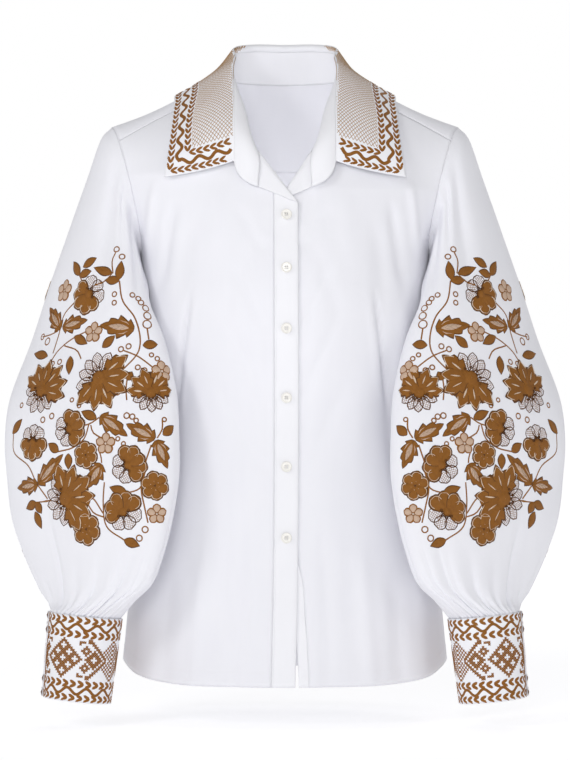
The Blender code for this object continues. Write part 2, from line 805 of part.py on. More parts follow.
def make_buttons():
    for number, z in enumerate(BUTTON_HEIGHTS, start=1):
        below, above = (front_middle(z + off) for off in (-BUTTON_RADIUS, BUTTON_RADIUS))
        outward = unit(np.cross(above - below, np.array((-1.0, 0.0, 0.0))))
        place = (below + above) / 2 + outward * (FIRM_WALL / 2 + BUTTON_CLEARANCE)
        button(f"button_{number}", place, outward)
    _, outer, front = cuff_frame()
    turn = -math.pi / 2 + CUFF_LAP_TURN
    outward = outer * math.cos(turn) + front * math.sin(turn)
    for side, x_sign in (("right", -1), ("left", 1)):
        turned = np.array((x_sign, 1, 1))
        for number, share in enumerate(CUFF_BUTTONS, start=1):
            clear = CUFF_LAP_STEP + FIRM_WALL / 2 + 2 * SEAM
            place = cuff_point(share, turn, clear)
            name = f"cuff_button_{side}_{number}"
            button(name, place * turned, outward * turned, CUFF_BUTTON_SCALE)


def main():
    for old in list(bpy.data.objects):
        bpy.data.objects.remove(old, do_unlink=True)
    make_fronts()
    make_back_and_yoke()
    make_collar()
    make_sleeves()
    make_buttons()


main()
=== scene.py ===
# %% [markdown]
# # A white shirt with brown embroidery
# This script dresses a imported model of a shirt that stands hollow, as if a wearer filled it. The
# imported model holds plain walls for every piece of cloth. Here each wall gets a fine shell with
# creases and gathers, then stitches, embroidery, buttons, finishes, and a pale studio round it.

import math

import bpy
import numpy as np
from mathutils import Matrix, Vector


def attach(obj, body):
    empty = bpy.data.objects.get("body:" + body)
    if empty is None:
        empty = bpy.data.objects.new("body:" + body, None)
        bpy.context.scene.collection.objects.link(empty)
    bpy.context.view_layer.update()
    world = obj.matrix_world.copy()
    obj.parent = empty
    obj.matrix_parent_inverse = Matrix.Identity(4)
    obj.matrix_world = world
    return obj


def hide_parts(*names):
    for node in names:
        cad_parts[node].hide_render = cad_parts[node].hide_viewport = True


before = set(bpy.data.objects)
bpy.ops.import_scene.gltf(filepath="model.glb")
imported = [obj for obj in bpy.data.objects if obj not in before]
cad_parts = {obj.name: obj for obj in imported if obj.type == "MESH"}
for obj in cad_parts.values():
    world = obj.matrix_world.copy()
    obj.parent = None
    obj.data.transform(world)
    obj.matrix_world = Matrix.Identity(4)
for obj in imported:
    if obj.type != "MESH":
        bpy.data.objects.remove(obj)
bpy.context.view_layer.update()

# %% [markdown]
# ## Reading the pattern
# A pattern cutter grades a garment from a table of measures. The tables below do the same: each
# row is one height of the body, or one ring of a sleeve. A smooth curve through the rows gives
# every place between them, so a few numbers make a whole surface. All of them are millimetres.

# %% Curves through tables
MM = 0.001


def smooth(share):
    """0 below 0, 1 above 1 and a soft S between."""
    share = np.clip(share, 0.0, 1.0)
    return share * share * (3 - 2 * share)


class Table:
    """Columns of numbers over a first column of places, on a smooth curve through the rows."""

    def __init__(self, rows):
        rows = np.array(sorted(map(tuple, rows)), float)
        self.places, self.values = rows[:, 0], rows[:, 1:]
        self.slopes = np.gradient(self.values, self.places, axis=0)

    def __call__(self, at):
        at = np.clip(np.asarray(at, float), self.places[0], self.places[-1])
        row = np.searchsorted(self.places, at, side="right") - 1
        row = np.clip(row, 0, len(self.places) - 2)
        width = self.places[row + 1] - self.places[row]
        t = ((at - self.places[row]) / width)[..., None]
        width = width[..., None]
        return (
            self.values[row] * (2 * t**3 - 3 * t**2 + 1)
            + self.slopes[row] * width * (t**3 - 2 * t**2 + t)
            + self.values[row + 1] * (3 * t**2 - 2 * t**3)
            + self.slopes[row + 1] * width * (t**3 - t**2)
        )

    def column(self, at, number=0):
        return self(at)[..., number]


def point(x, y, z):
    return np.stack(np.broadcast_arrays(x, y, z), axis=-1).astype(float)


def unit(vectors):
    return vectors / np.maximum(np.linalg.norm(vectors, axis=-1, keepdims=True), 1e-9)


def through(a, b, c, t):
    """A point of the curve that runs from a at 0 through b at a half to c at 1."""
    return a * (1 - t) * (1 - 2 * t) + b * 4 * t * (1 - t) + c * t * (2 * t - 1)


# %% [markdown]
# ## The body
# The body is a wide oval tube. Below the armpits each row is one oval. Above them, a row runs
# from the front edge to the armhole, and the shoulder is a patch stretched between four curves.

# %% Measures of the body
SIDE_Y = 2.0
ARMPIT_Z = -172.0
HEM_CENTRE_Z = -626.0
HEM_SIDE_RISE = 20.0
HEM_ROUNDING = 8
# height, half width at the side seam, depth of the centre front, depth of the centre back
TORSO = Table((
    (-650, 178, -113, 112),
    (-606, 174, -113, 111),
    (-556, 169.5, -112, 109),
    (-430, 155, -106, 96),
    (-340, 147, -104, 85),
    (-250, 156, -117, 95),
    (-200, 157, -118, 99),
    (-172, 155, -114, 100),
    (-134, 155, -106, 99),
    (-110, 155, -100.5, 97),
    (-85, 155, -94, 93),
    (-55, 155, -87, 86),
))
# soft folds of the fronts: x and height where each starts and ends, its half width, its depth
FRONT_FOLDS = (
    (98, -205, 112, -400, 9, 3.0),
    (128, -300, 132, -560, 14, 4.0),
    (60, -360, 76, -610, 18, 2.5),
)
ARMHOLE_CENTRE = np.array((171.0, 4.0, -102.5))
ARMHOLE_UP = np.array((16.0, 2.0, 69.5))
ARMHOLE_FORWARD = np.array((-8.0, -46.0, 0.0))
YOKE_FRONT_TURN = math.radians(41)
YOKE_BACK_TURN = math.radians(-66.7)
FLAT_OPENING = math.radians(60)
BAND_WIDTH = 25.0
UNDER_BAND_WIDTH = 10.5
BAND_TIP = 1.5
LAYER = 2.2
RIGHT_SEAM = Table(((-650, 14.8), (-560, 12.6), (-470, 11.4), (-60, 11.4)))
LEFT_EDGE = Table((
    (-650, 15.5),
    (-626, 14.5),
    (-555, 10.4),
    (-508, 6.0),
    (-470, -6.0),
    (-440, -8.0),
    (-60, -8.0),
))
NECK_POINT = (28.0, -65.5)
LAPEL_POINT = (28.0, -104.0)
RIGHT_BREAK = (-13.5, -121.0)
LEFT_BREAK = (-8.0, -120.0)

# %% Surface of the body


def armhole(turn):
    """A point of the armhole, from its top, towards the front."""
    turn = np.asarray(turn, float)[..., None]
    return ARMHOLE_CENTRE + ARMHOLE_UP * np.cos(turn) + ARMHOLE_FORWARD * np.sin(turn)


def armhole_turn(z):
    return np.arccos(np.clip((z - ARMHOLE_CENTRE[2]) / ARMHOLE_UP[2], -1.0, 1.0))


def hem_height(angle):
    return HEM_CENTRE_Z + HEM_SIDE_RISE * np.abs(np.sin(angle)) ** HEM_ROUNDING


def fold_depth(x, z):
    """How far the soft folds push the front in."""
    depth = np.zeros(np.broadcast(x, z).shape)
    for x_top, z_top, x_end, z_end, half_width, most in FRONT_FOLDS:
        share = np.clip((z - z_top) / (z_end - z_top), 0.0, 1.0)
        off = (x - x_top - (x_end - x_top) * share) / half_width
        depth += most * np.exp(-off * off) * np.sin(math.pi * share) ** 0.7
    return depth


def torso(angle, z):
    """The body below the armpits: an angle of 0 is the centre front and pi the centre back."""
    half_width, front, back = np.moveaxis(TORSO(z), -1, 0)
    x = half_width * np.sin(angle)
    cosine = np.cos(angle)
    y_front = SIDE_Y + (front - SIDE_Y) * cosine + fold_depth(x, z) * smooth(2 * cosine)
    y_back = SIDE_Y - (back - SIDE_Y) * cosine
    return point(x, np.where(cosine < 0, y_back, y_front), z)


def front_angle(x, z):
    return np.arcsin(x / TORSO.column(z))


def chest_edge(z, front=True):
    """The armhole's point of this height, and how far round its ellipse a row reaches there."""
    turn = armhole_turn(z)
    edge = armhole(turn if front else -turn)
    climb = (z - ARMPIT_Z) / (ARMHOLE_CENTRE[2] + ARMHOLE_UP[2] - ARMPIT_Z)
    climb = np.clip(climb * 2, 0.0, 1.0) ** 0.8
    return edge, math.pi / 2 + (FLAT_OPENING - math.pi / 2) * climb


def chest(x, z, front=True):
    """The body between the armpits and the shoulders, as a surface over x and height."""
    edge, reach = chest_edge(z, front)
    centre = TORSO.column(z, 1 if front else 2)
    turn = np.arcsin(np.clip(x * np.sin(reach) / edge[..., 0], -1.0, 1.0))
    share = (1 - np.cos(turn)) / (1 - np.cos(reach))
    return point(x, centre + (edge[..., 1] - centre) * share, z)


def chest_row(x_start, z, u, front=True):
    """A point of one row of the chest, from x_start to the armhole."""
    edge, reach = chest_edge(z, front)
    first = np.arcsin(x_start * np.sin(reach) / edge[..., 0])
    turn = first + (reach - first) * u
    return chest(edge[..., 0] * np.sin(turn) / np.sin(reach), z, front)


def coons(bottom, top, left, right, u, v):
    """The patch between four curves, each a function from 0 to 1."""
    zero, one = np.zeros_like(u), np.ones_like(u)
    wide, tall = u[..., None], v[..., None]
    across = bottom(u) * (1 - tall) + top(u) * tall
    along = left(v) * (1 - wide) + right(v) * wide
    corners = (
        bottom(zero) * (1 - wide) * (1 - tall)
        + bottom(one) * wide * (1 - tall)
        + top(zero) * (1 - wide) * tall
        + top(one) * wide * tall
    )
    return across + along - corners


# %% [markdown]
# ## The collar and the yoke
# A shirt collar is two pieces: a stand that rises from the neck seam, and a leaf that turns over
# at the fold and lies outward. Both are read from one table, whose stations run round the neck.

# %% Measures and surfaces of the collar and the yoke


def both_sides(table):
    """A table of one side, with its mirror image at negative stations. Every third column is an x."""
    mirrored = []
    for station, *values in table[1:]:
        turned = [-v if place % 3 == 0 else v for place, v in enumerate(values)]
        mirrored.append((-station, *turned))
    return tuple(mirrored) + tuple(table)


# station, then x, y, z of the neck seam, the stand's middle, the fold, the leaf's crown and its edge
COLLAR = Table(both_sides((
    (0, 0, 66, 19, 0, 64, 38, 0, 59, 55, 0, 75, 36, 0, 82, -1),
    (1, 40, 60, 20, 37, 58, 38, 34, 54, 55, 43, 70, 35, 50, 78, -4),
    (2, 64, 38, 20, 59, 36, 36, 56, 34, 50, 72, 48, 28, 86, 62, -10),
    (3, 73, 12, 16, 63, 8, 27, 57, 6, 38, 81, 11, 24, 116, 14, 2),
    (4, 69, -14, 0, 55, -22, 8, 56, -22, 21, 82, -20, 10, 119, -18, -12),
    (5, 54, -50, -32, 41, -60, -26, 54, -58, -12, 84, -53, -18, 121, -52, -44),
    (6, 29, -90, -66, 38, -93, -57, 53.5, -85, -45, 86, -77, -52, 124, -72, -72),
    (7, 28, -102, -104, 45, -100, -95, 52.5, -93, -79, 88, -88, -86, 127, -77, -92),
)))
SEAM_COLUMN, STAND_COLUMN, FOLD_COLUMN, CROWN_COLUMN, EDGE_COLUMN = range(5)
LAST_STATION = 7
FOLD_RISE = 7.2
FOLD_SHARE = 0.06
NECK_POINT_STATION = 6
YOKE_STATION = 4
YOKE_BACK_Z = -75.0
# station, then x, y, z of its neck or front edge, of the shoulder's ridge, and x of its back edge
YOKE_ROWS_OF = both_sides((
    (0, 0, 66, 19, 0, 79, -20, 0),
    (1, 40, 60, 20, 42, 75, -18, 40),
    (2, 64, 38, 20, 70, 60, -7, 72),
    (3, 73, 12, 16, 86, 42, -7, 96),
    (4, 69, -14, 0, 97, 18, 2, 112),
    (5, 98, -17, -8, 118, 18, -9, 130),
    (6, 135, -21, -26, 150, 14, -23, 152),
    (7, 177.9, -24.7, -50, 187, 6, -33, 184.7),
))
YOKE = Table(YOKE_ROWS_OF)


def collar_point(column, station):
    return COLLAR(station)[..., 3 * column : 3 * column + 3]


def stand_point(station, t):
    """A point of the stand, from the neck seam at a t of 0 to the fold at 1."""
    columns = (collar_point(c, station) for c in (SEAM_COLUMN, STAND_COLUMN, FOLD_COLUMN))
    return through(*columns, np.asarray(t)[..., None])


def leaf_point(station, t):
    """A point of the leaf, from the fold at a t of 0 to its outer edge at 1. Below 0 it joins the stand."""
    middle, fold, crown, edge = (collar_point(c, station) for c in range(STAND_COLUMN, EDGE_COLUMN + 1))
    rise = unit(fold - middle)
    turned = (1 - np.sum(rise * unit(crown - fold), axis=-1, keepdims=True)) / 2
    first = fold + rise * (0.3 + FOLD_RISE * turned)
    tall = np.asarray(t, float)[..., None]
    rolled = first + (fold - rise * 0.8 - first) * np.clip(-tall / FOLD_SHARE, 0, 1)
    return np.where(tall < 0, rolled, through(first, crown, edge, np.clip(tall, 0, 1)))


def neck_edge(station):
    """The body's own edge at the neck seam, below the stand where the stand turns out."""
    found = collar_point(SEAM_COLUMN, station).copy()
    found[..., 1] += 3.0 * smooth((np.abs(station) - 4.2) / 1.6)
    return found


def yoke_back(x):
    return chest(x, np.full(np.shape(x), YOKE_BACK_Z), front=False)


def yoke_point(station, t):
    """A point of the yoke, from its neck or front edge at a t of 0 to its back edge at 1."""
    station, t = np.broadcast_arrays(np.asarray(station, float), np.asarray(t, float))
    tall = t[..., None]
    values = YOKE(station)
    found = through(values[..., 0:3], values[..., 3:6], yoke_back(values[..., 6]), tall)
    end = np.array(YOKE_ROWS_OF[-1][1:], float)
    wanted = armhole(YOKE_FRONT_TURN + (YOKE_BACK_TURN - YOKE_FRONT_TURN) * t)
    off = wanted - through(end[0:3], end[3:6], yoke_back(end[6]), tall)
    off[..., 0] *= np.where(station > 0, 1, -1)
    return found + off * ((np.abs(station) / LAST_STATION) ** 4)[..., None]


# %% [markdown]
# ## The sleeve and the cuff
# A balloon sleeve is a wide tube gathered into a narrow cuff. Each ring of the tube is an ellipse
# between its outer and inner line. The cloth that the cuff gathers in has to go somewhere, so it
# stands up in many narrow uneven ridges, deepest at the seam and running out up the sleeve.

# %% Measures of the sleeve and the cuff
# station, x, y, z of its outer line, x, y, z of its inner line, then half its depth as a vector
SLEEVE = Table((
    (0, 187, 6, -33, 155, 2, -172, -8, -46, 0),
    (1, 199, 6, -47, 157, 0, -178, -8, -49, -2),
    (2, 212, 3, -88, 155, -8, -192, -14, -54, -4),
    (3, 226, -3, -133, 151, -18, -207, -20, -56, -4),
    (4, 244, -14, -197, 151, -42, -228, -30, -58, -2),
    (5, 265, -18, -263, 135, -62, -264, -34, -60, 0),
    (6, 288, -28, -325, 121, -80, -318, -36, -61, 0),
    (7, 293, -34, -370, 118, -92, -369, -38, -62, 0),
    (8, 290, -38, -413, 118, -98, -405, -38, -62, 0),
    (9, 285, -44, -455, 121, -102, -440, -36, -60, 0),
    (10, 272, -52, -495, 128, -104, -479, -30, -55, 0),
    (11, 259, -62, -525, 138, -102, -515, -20, -48, 0),
    (12, 251, -70, -541, 156, -96, -536, -10, -41, 1),
    (13, 246.2, -80, -547.5, 171.8, -80, -555.5, 0, -35.2, 1.2),
))
BODY_CLEARANCE = 2.6
SLEEVE_LAST = 13
# soft folds of the sleeve: turn round the tube in degrees, first and last station, half width, depth
SLEEVE_FOLDS = (
    (62, 0.2, 4.8, 12, 6.5),
    (84, 0.1, 3.4, 6, 3.4),
    (110, 0.1, 4.4, 8, 6.0),
    (136, 0.3, 3.6, 9, 4.5),
    (250, 0.8, 4.8, 18, 3.5),
    (30, 8.5, 12.5, 10, 3.6),
    (75, 9.6, 13.0, 6, 3.2),
    (100, 9.2, 12.9, 7, 3.6),
    (150, 8.0, 12.5, 14, 3.5),
    (285, 8.2, 12.5, 14, 3.0),
)
CUFF_TOP = np.array((209.0, -80.0, -553.0))
CUFF_BOTTOM = np.array((218.5, -83.0, -642.0))
CUFF_TOP_RADIUS = 37.4
CUFF_BOTTOM_RADIUS = 34.6
CUFF_DEPTH_SHARE = 0.94
CUFF_LAP_TURN = math.radians(66)
CUFF_LAP = math.radians(36)
CUFF_LAP_STEP = 2.6

# %% The uneven gathers above the cuff
chance = np.random.default_rng(11)
GATHER_COUNT = 54
gather_turns = np.arange(GATHER_COUNT) * 360 / GATHER_COUNT + chance.uniform(-2.0, 2.0, GATHER_COUNT)
gather_widths = chance.uniform(1.5, 2.5, GATHER_COUNT)
gather_depths = chance.uniform(2.4, 6.6, GATHER_COUNT)
gather_starts = 13 - chance.uniform(1.0, 3.2, GATHER_COUNT) * (0.5 + gather_depths / 5)
gather_leans = chance.uniform(-2.2, 2.2, GATHER_COUNT)
print("gathers above each cuff:", GATHER_COUNT)


def gathers(degrees, station):
    """How far the gathers draw the sleeve's cloth in."""
    depth = np.zeros(np.broadcast(degrees, station).shape)
    for number in range(GATHER_COUNT):
        run = (station - gather_starts[number]) / (SLEEVE_LAST - gather_starts[number])
        run = np.clip(run, 0.0, 1.0)
        middle = gather_turns[number] + gather_leans[number] * (1 - run)
        off = ((degrees - middle + 180) % 360 - 180) / (gather_widths[number] * (2.6 - 1.6 * run))
        depth += gather_depths[number] * run**0.85 * np.exp(-off * off)
    return depth


# %% Surfaces of the sleeve and the cuff


def clear_of_body(found, station):
    """A sleeve's points, moved out to where they lie against the side of the body."""
    clearance = BODY_CLEARANCE * smooth(station)
    half_width, front, back = np.moveaxis(TORSO(np.minimum(found[..., 2], ARMPIT_Z)), -1, 0)
    off_x, off_y = found[..., 0], found[..., 1] - SIDE_Y
    depth = np.where(off_y < 0, SIDE_Y - front, back - SIDE_Y)
    share = np.hypot(off_x / (half_width + clearance), off_y / (depth + clearance))
    push = np.where((share < 1) & (found[..., 2] < ARMPIT_Z), 1 / np.maximum(share, 1e-6), 1.0)
    return point(off_x * push, off_y * push + SIDE_Y, found[..., 2])


def sleeve_point(station, turn, creased=True):
    """A point of the sleeve: a turn of 0 is its outer line, and a quarter turn its front."""
    station, turn = np.broadcast_arrays(np.asarray(station, float), np.asarray(turn, float))
    values = SLEEVE(station)
    outer, inner, forward = values[..., 0:3], values[..., 3:6], values[..., 6:9]
    degrees = np.degrees(turn) % 360
    depth = np.zeros(station.shape)
    for at, first, last, half_width, most in SLEEVE_FOLDS:
        share = np.clip((station - first) / (last - first), 0.0, 1.0)
        off = ((degrees - at + 180) % 360 - 180) / half_width
        depth += most * np.exp(-off * off) * np.sin(math.pi * share)
    if creased:
        depth = depth + gathers(degrees, station) * (1 - 0.35 * smooth(station - 12.0))
    tall = turn[..., None]
    shape = (outer - inner) / 2 * np.cos(tall) + forward * np.sin(tall)
    shape = shape * (1 - depth[..., None] / np.linalg.norm(shape, axis=-1, keepdims=True))
    return clear_of_body((outer + inner) / 2 + shape, station)


def cuff_frame():
    """The cuff's own axes: down its length, to its outer side, and to the front."""
    down = unit(CUFF_BOTTOM - CUFF_TOP)
    outer = unit(np.cross(down, np.array((0.0, 1.0, 0.0))))
    outer *= 1 if outer[0] > 0 else -1
    front = np.cross(outer, down)
    front *= 1 if front[1] < 0 else -1
    return down, outer, front


def cuff_point(share, turn, step=0.0):
    """A point of the cuff: share of its length from the top, turn from the outer side to the front."""
    _, outer, front = cuff_frame()
    share, turn, step = np.broadcast_arrays(*(np.asarray(v, float)[..., None] for v in (share, turn, step)))
    centre = CUFF_TOP * (1 - share) + CUFF_BOTTOM * share
    radius = CUFF_TOP_RADIUS * (1 - share) + CUFF_BOTTOM_RADIUS * share + step
    return centre + (outer * np.cos(turn) + front * np.sin(turn) * CUFF_DEPTH_SHARE) * radius


def cuff_lap(wound):
    """How far the cuff's end stands out where it laps over its start."""
    return CUFF_LAP_STEP * smooth((wound - 2 * math.pi + 0.35) / 0.35)


# %% [markdown]
# ## Finishes
# A finish is a tree of shader nodes. The two small classes below let the sums inside a tree be
# written as ordinary sums: `Value` wraps one socket, and adding or multiplying it adds a Math
# node. `Finish` makes a material and adds any other node by its type, settings and values.

# %% Shader sums as Python sums


def settle(finish, node, settings, values):
    """Sets a node's settings, then its sockets, each to a plain value or to a link."""
    for name, value in settings.items():
        setattr(node, name, value)
    for key, value in values.items():
        if isinstance(value, Value):
            finish.tree.links.new(value.socket, node.inputs[key])
        else:
            node.inputs[key].default_value = value


class Value:
    """One output socket of a material's nodes, which can be used in sums."""

    def __init__(self, finish, socket):
        self.finish, self.socket = finish, socket

    def maths(self, operation, first, second=0.0):
        return self.finish.node("ShaderNodeMath", {"operation": operation}, {0: first, 1: second})

    def __add__(self, other):
        return self.maths("ADD", self, other)

    def __sub__(self, other):
        return self.maths("SUBTRACT", self, other)

    def __mul__(self, other):
        return self.maths("MULTIPLY", self, other)

    def __rsub__(self, other):
        return self.maths("SUBTRACT", other, self)

    __radd__ = __add__
    __rmul__ = __mul__

    def sine(self):
        return self.maths("SINE", self)

    def size(self):
        return self.maths("ABSOLUTE", self)


class Finish:
    """A material with one Principled shader, and the nodes that feed it."""

    def __init__(self, name, colour, roughness, **constants):
        self.material = bpy.data.materials.new(name)
        self.material.use_nodes = True
        self.tree = self.material.node_tree
        self.shader = self.tree.nodes["Principled BSDF"]
        self.set("Base Color", (*colour, 1))
        self.set("Roughness", roughness)
        for socket, value in constants.items():
            self.set(socket.replace("_", " "), value)
        self.material.diffuse_color = (*colour, 1)

    def set(self, socket, value):
        settle(self, self.shader, {}, {socket: value})

    def node(self, kind, settings=None, values=None, output=0):
        made = self.tree.nodes.new(kind)
        settle(self, made, settings or {}, values or {})
        return Value(self, made.outputs[output])

    def mix(self, share, first, second):
        """A colour between two others."""
        settings = {"data_type": "RGBA"}
        colours = [(*c, 1) if isinstance(c, tuple) and len(c) == 3 else c for c in (first, second)]
        return self.node("ShaderNodeMix", settings, {0: share, 6: colours[0], 7: colours[1]}, output=2)

    def noise(self, size_mm, detail=2.0, stretch=(1, 1, 1)):
        """Soft noise over the object's own coordinates, its patches about size_mm wide."""
        place = self.node("ShaderNodeTexCoord", output="Object")
        stretched = self.node("ShaderNodeMapping", {}, {"Vector": place, "Scale": stretch})
        values = {"Vector": stretched, "Scale": 1000 / size_mm, "Detail": detail}
        return self.node("ShaderNodeTexNoise", {}, values)

    def flat_place(self):
        """The piece's own flat coordinates in metres, across and along."""
        flat = self.node("ShaderNodeUVMap", {"uv_map": "UVMap"})
        parts = [self.node("ShaderNodeSeparateXYZ", {}, {0: flat}, output=name) for name in "XY"]
        return parts

    def bump(self, height, strength, distance_mm):
        values = {"Height": height, "Strength": strength, "Distance": distance_mm * MM}
        self.set("Normal", self.node("ShaderNodeBump", {}, values))


# %% [markdown]
# ### White cotton shirting
# Shirting is a plain weave: threads of a third of a millimetre pass over and under each other.
# Two crossed sine waves on the cloth's flat coordinates give that grid. A broad, faint noise on
# the colour and another on the height keep the cloth from looking like plastic.

# %% White cotton
THREAD_PITCH = 0.00042  # metres between the centres of two threads


def cotton(name, colour, shade, sheen):
    made = Finish(name, colour, 0.86, Sheen_Weight=sheen, Sheen_Roughness=0.6, Specular_IOR_Level=0.25)
    across, along = made.flat_place()
    weave = (across * (2 * math.pi / THREAD_PITCH)).sine() * (along * (2 * math.pi / THREAD_PITCH)).sine()
    slub = made.noise(9, 3.0, (1, 1, 0.12))
    patch = made.noise(60)
    made.set("Base Color", made.mix(patch * 0.5 + slub * 0.35, colour, shade))
    made.set("Roughness", 0.8 + slub * 0.12)
    made.bump(weave * 0.06 + slub * 0.35 + made.noise(24, 2.0) * 1.2, 0.35, 0.4)
    return made.material


WHITE = cotton("white_cotton_weave", (0.86, 0.86, 0.90), (0.80, 0.80, 0.85), 0.08)
FIRM_WHITE = cotton("white_cotton_firm", (0.89, 0.89, 0.92), (0.84, 0.84, 0.88), 0.08)
print("cotton finishes:", WHITE.name, FIRM_WHITE.name)

# %% [markdown]
# ### Embroidery thread
# Satin stitch is many parallel threads laid side by side, so it shines along each thread and shows
# fine ridges across the shape. The flat coordinates of each shape run along it, and a fine wave
# on them draws the threads. The brown varies a little from stitch to stitch, as dyed rayon does.

# %% Threads
STITCH_PITCH = 0.00055


def thread(name, colour, shade, light):
    made = Finish(name, colour, 0.5, Sheen_Weight=0.03, Sheen_Roughness=0.4, Specular_IOR_Level=0.22)
    along, _ = made.flat_place()
    ridge = (along * (2 * math.pi / STITCH_PITCH)).sine()
    patch = made.noise(3.5, 3.0)
    streak = made.noise(0.9, 2.0)
    worn = made.mix(patch, shade, light)
    made.set("Base Color", made.mix(streak * 0.5 + 0.2, worn, colour))
    made.set("Roughness", 0.42 + patch * 0.2)
    made.bump(ridge * 0.5 + streak * 0.6, 0.5, 0.25)
    return made.material


BROWN = thread("brown_satin_thread", (0.255, 0.095, 0.012), (0.17, 0.058, 0.006), (0.36, 0.148, 0.022))
DARK = thread("dark_outline_thread", (0.095, 0.034, 0.008), (0.06, 0.02, 0.005), (0.15, 0.058, 0.014))
BEIGE = thread("beige_fill_thread", (0.58, 0.41, 0.295), (0.48, 0.32, 0.22), (0.70, 0.53, 0.42))
CREAM = thread("cream_detail_thread", (0.80, 0.66, 0.52), (0.74, 0.58, 0.43), (0.88, 0.78, 0.66))
LATTICE = thread("pale_lattice_thread", (0.46, 0.28, 0.15), (0.36, 0.21, 0.10), (0.55, 0.37, 0.22))
print("threads:", [m.name for m in (BROWN, DARK, BEIGE, CREAM, LATTICE)])

# %% [markdown]
# ### Button plastic and sewing cotton
# The buttons are cast polyester: glossy, slightly warm, with a faint cloud in the colour. Seams
# are sewn with white cotton that is a touch brighter than the cloth.

# %% Plastic and sewing thread
plastic = Finish("ivory_button_plastic", (0.88, 0.86, 0.81), 0.28, Coat_Weight=0.3, Coat_Roughness=0.15)
plastic.set("Base Color", plastic.mix(plastic.noise(2.5), (0.84, 0.81, 0.75), (0.92, 0.91, 0.88)))
plastic.set("Roughness", 0.2 + plastic.noise(1.2) * 0.2)
sewing = Finish("white_sewing_thread", (0.86, 0.86, 0.89), 0.6, Sheen_Weight=0.1)
sewing.set("Base Color", sewing.mix(sewing.noise(1.5), (0.78, 0.78, 0.82), (0.90, 0.90, 0.92)))
sewing.bump(sewing.noise(0.3), 0.4, 0.1)

# %% [markdown]
# ## Cloth from a grid of points
# Every piece of cloth is a grid of points on its surface, moved along its own normal by a relief
# of creases. The grid becomes faces, its lengths along and across become flat coordinates, and a
# Solidify modifier gives the wall its thickness.

# %% Making cloth
WALL = 1.0
FIRM_WALL = 1.7


def grid_normals(grid, closed=False):
    """The outward normals of a grid, across its columns and up its rows."""
    across = np.gradient(grid, axis=1)
    if closed:
        across = (np.roll(grid, -1, axis=1) - np.roll(grid, 1, axis=1)) / 2
    return unit(np.cross(across, np.gradient(grid, axis=0)))


def grid_faces(rows, columns, closed=False, flip=False):
    """Quads between neighbouring points, as rows of four numbers."""
    r, c = np.meshgrid(np.arange(rows - 1), np.arange(columns if closed else columns - 1), indexing="ij")
    after = (c + 1) % columns
    here, above = r * columns, (r + 1) * columns
    faces = np.stack((here + c, here + after, above + after, above + c), -1)
    faces = faces.reshape(-1, 4)
    return faces[:, ::-1] if flip else faces


def lengths_along(grid, axis):
    steps = np.linalg.norm(np.diff(grid, axis=axis), axis=-1)
    steps = np.insert(steps, 0, 0.0, axis=axis)
    return np.cumsum(steps, axis=axis)


def make_mesh(name, points, faces, flat, finish):
    """An object from points in millimetres, quads, and flat coordinates for each point."""
    mesh = bpy.data.meshes.new(name)
    mesh.from_pydata(points * MM, [], faces.tolist())
    layer = mesh.uv_layers.new(name="UVMap")
    layer.data.foreach_set("uv", (flat[faces.reshape(-1)] * MM).astype(np.float32).reshape(-1))
    mesh.materials.append(finish)
    mesh.shade_smooth()
    made = bpy.data.objects.new(name, mesh)
    bpy.context.scene.collection.objects.link(made)
    return made


def cloth(name, grid, wall, finish, x_sign=1, closed=False, relief=None):
    """A wall of cloth on a grid. A relief above zero stands out of the surface."""
    if relief is not None:
        grid = grid + grid_normals(grid, closed) * relief[..., None]
    rows, columns = grid.shape[:2]
    faces = grid_faces(rows, columns, closed, x_sign < 0)
    flat = np.stack((lengths_along(grid, 1), lengths_along(grid, 0)), -1).reshape(-1, 2)
    made = make_mesh(name, grid.reshape(-1, 3) * (x_sign, 1, 1), faces, flat, finish)
    solid = made.modifiers.new("wall", "SOLIDIFY")
    solid.thickness = wall * MM
    solid.offset = 0
    return made


def declare(piece, node, flat):
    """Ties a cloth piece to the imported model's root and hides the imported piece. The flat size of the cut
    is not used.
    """
    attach(piece, "root")
    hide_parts(node)


# %% [markdown]
# ## The fronts
# Each front is cut from the hem to the shoulder. It hangs from the yoke, so its creases run down:
# a dart from the bust, broad soft drapes, small puckers along the button band, and the step of
# the turned hem. They are a relief over x and height, all different in length and depth.

# %% Relief of the fronts
ARMPIT_REACH = 12


def soften(grid):
    """Evens out the rows round the armpit, where the oval body turns into the chest."""
    grid = grid.copy()
    row = np.arange(len(grid))[:, None, None]
    share = smooth(1 - np.abs(row - BODY_ROWS) / ARMPIT_REACH)
    for _ in range(40):
        even = (np.roll(grid, 1, axis=0) + np.roll(grid, -1, axis=0)) / 2
        grid += (even - grid) * share * 0.6
    return grid


BODY_ROWS, CHEST_ROWS, SHOULDER_ROWS = 96, 30, 28
FRONT_COLUMNS = 72
HEM_TURN = 15.0
FRONT_CREASE_STRENGTH = 1.5
# x at its top, height at its top, x and height at its foot, half width, depth
FRONT_CREASES = (
    (98, -200, 117, -350, 2.3, -2.6),
    (92, -205, 110, -350, 4.0, 1.2),
    (58, -178, 16, -262, 5.0, -1.1),
    (66, -232, 18, -335, 6.0, -1.0),
    (74, -300, 22, -410, 8.0, -0.9),
    (52, -120, 20, -180, 6.0, -0.9),
    (110, -260, 124, -440, 6.0, -1.9),
    (134, -215, 122, -340, 7.0, 2.1),
    (44, -430, 52, -626, 9.0, -1.4),
    (84, -470, 96, -626, 8.0, 1.6),
    (120, -500, 128, -626, 10.0, -1.8),
    (148, -480, 156, -626, 9.0, 1.3),
    (30, -150, 70, -260, 9.0, -0.8),
    (116, -110, 134, -225, 6.0, -2.4),
    (138, -90, 147, -180, 4.5, 1.9),
    (100, -130, 112, -240, 9.0, -1.4),
    (64, -95, 78, -190, 12.0, 0.9),
)


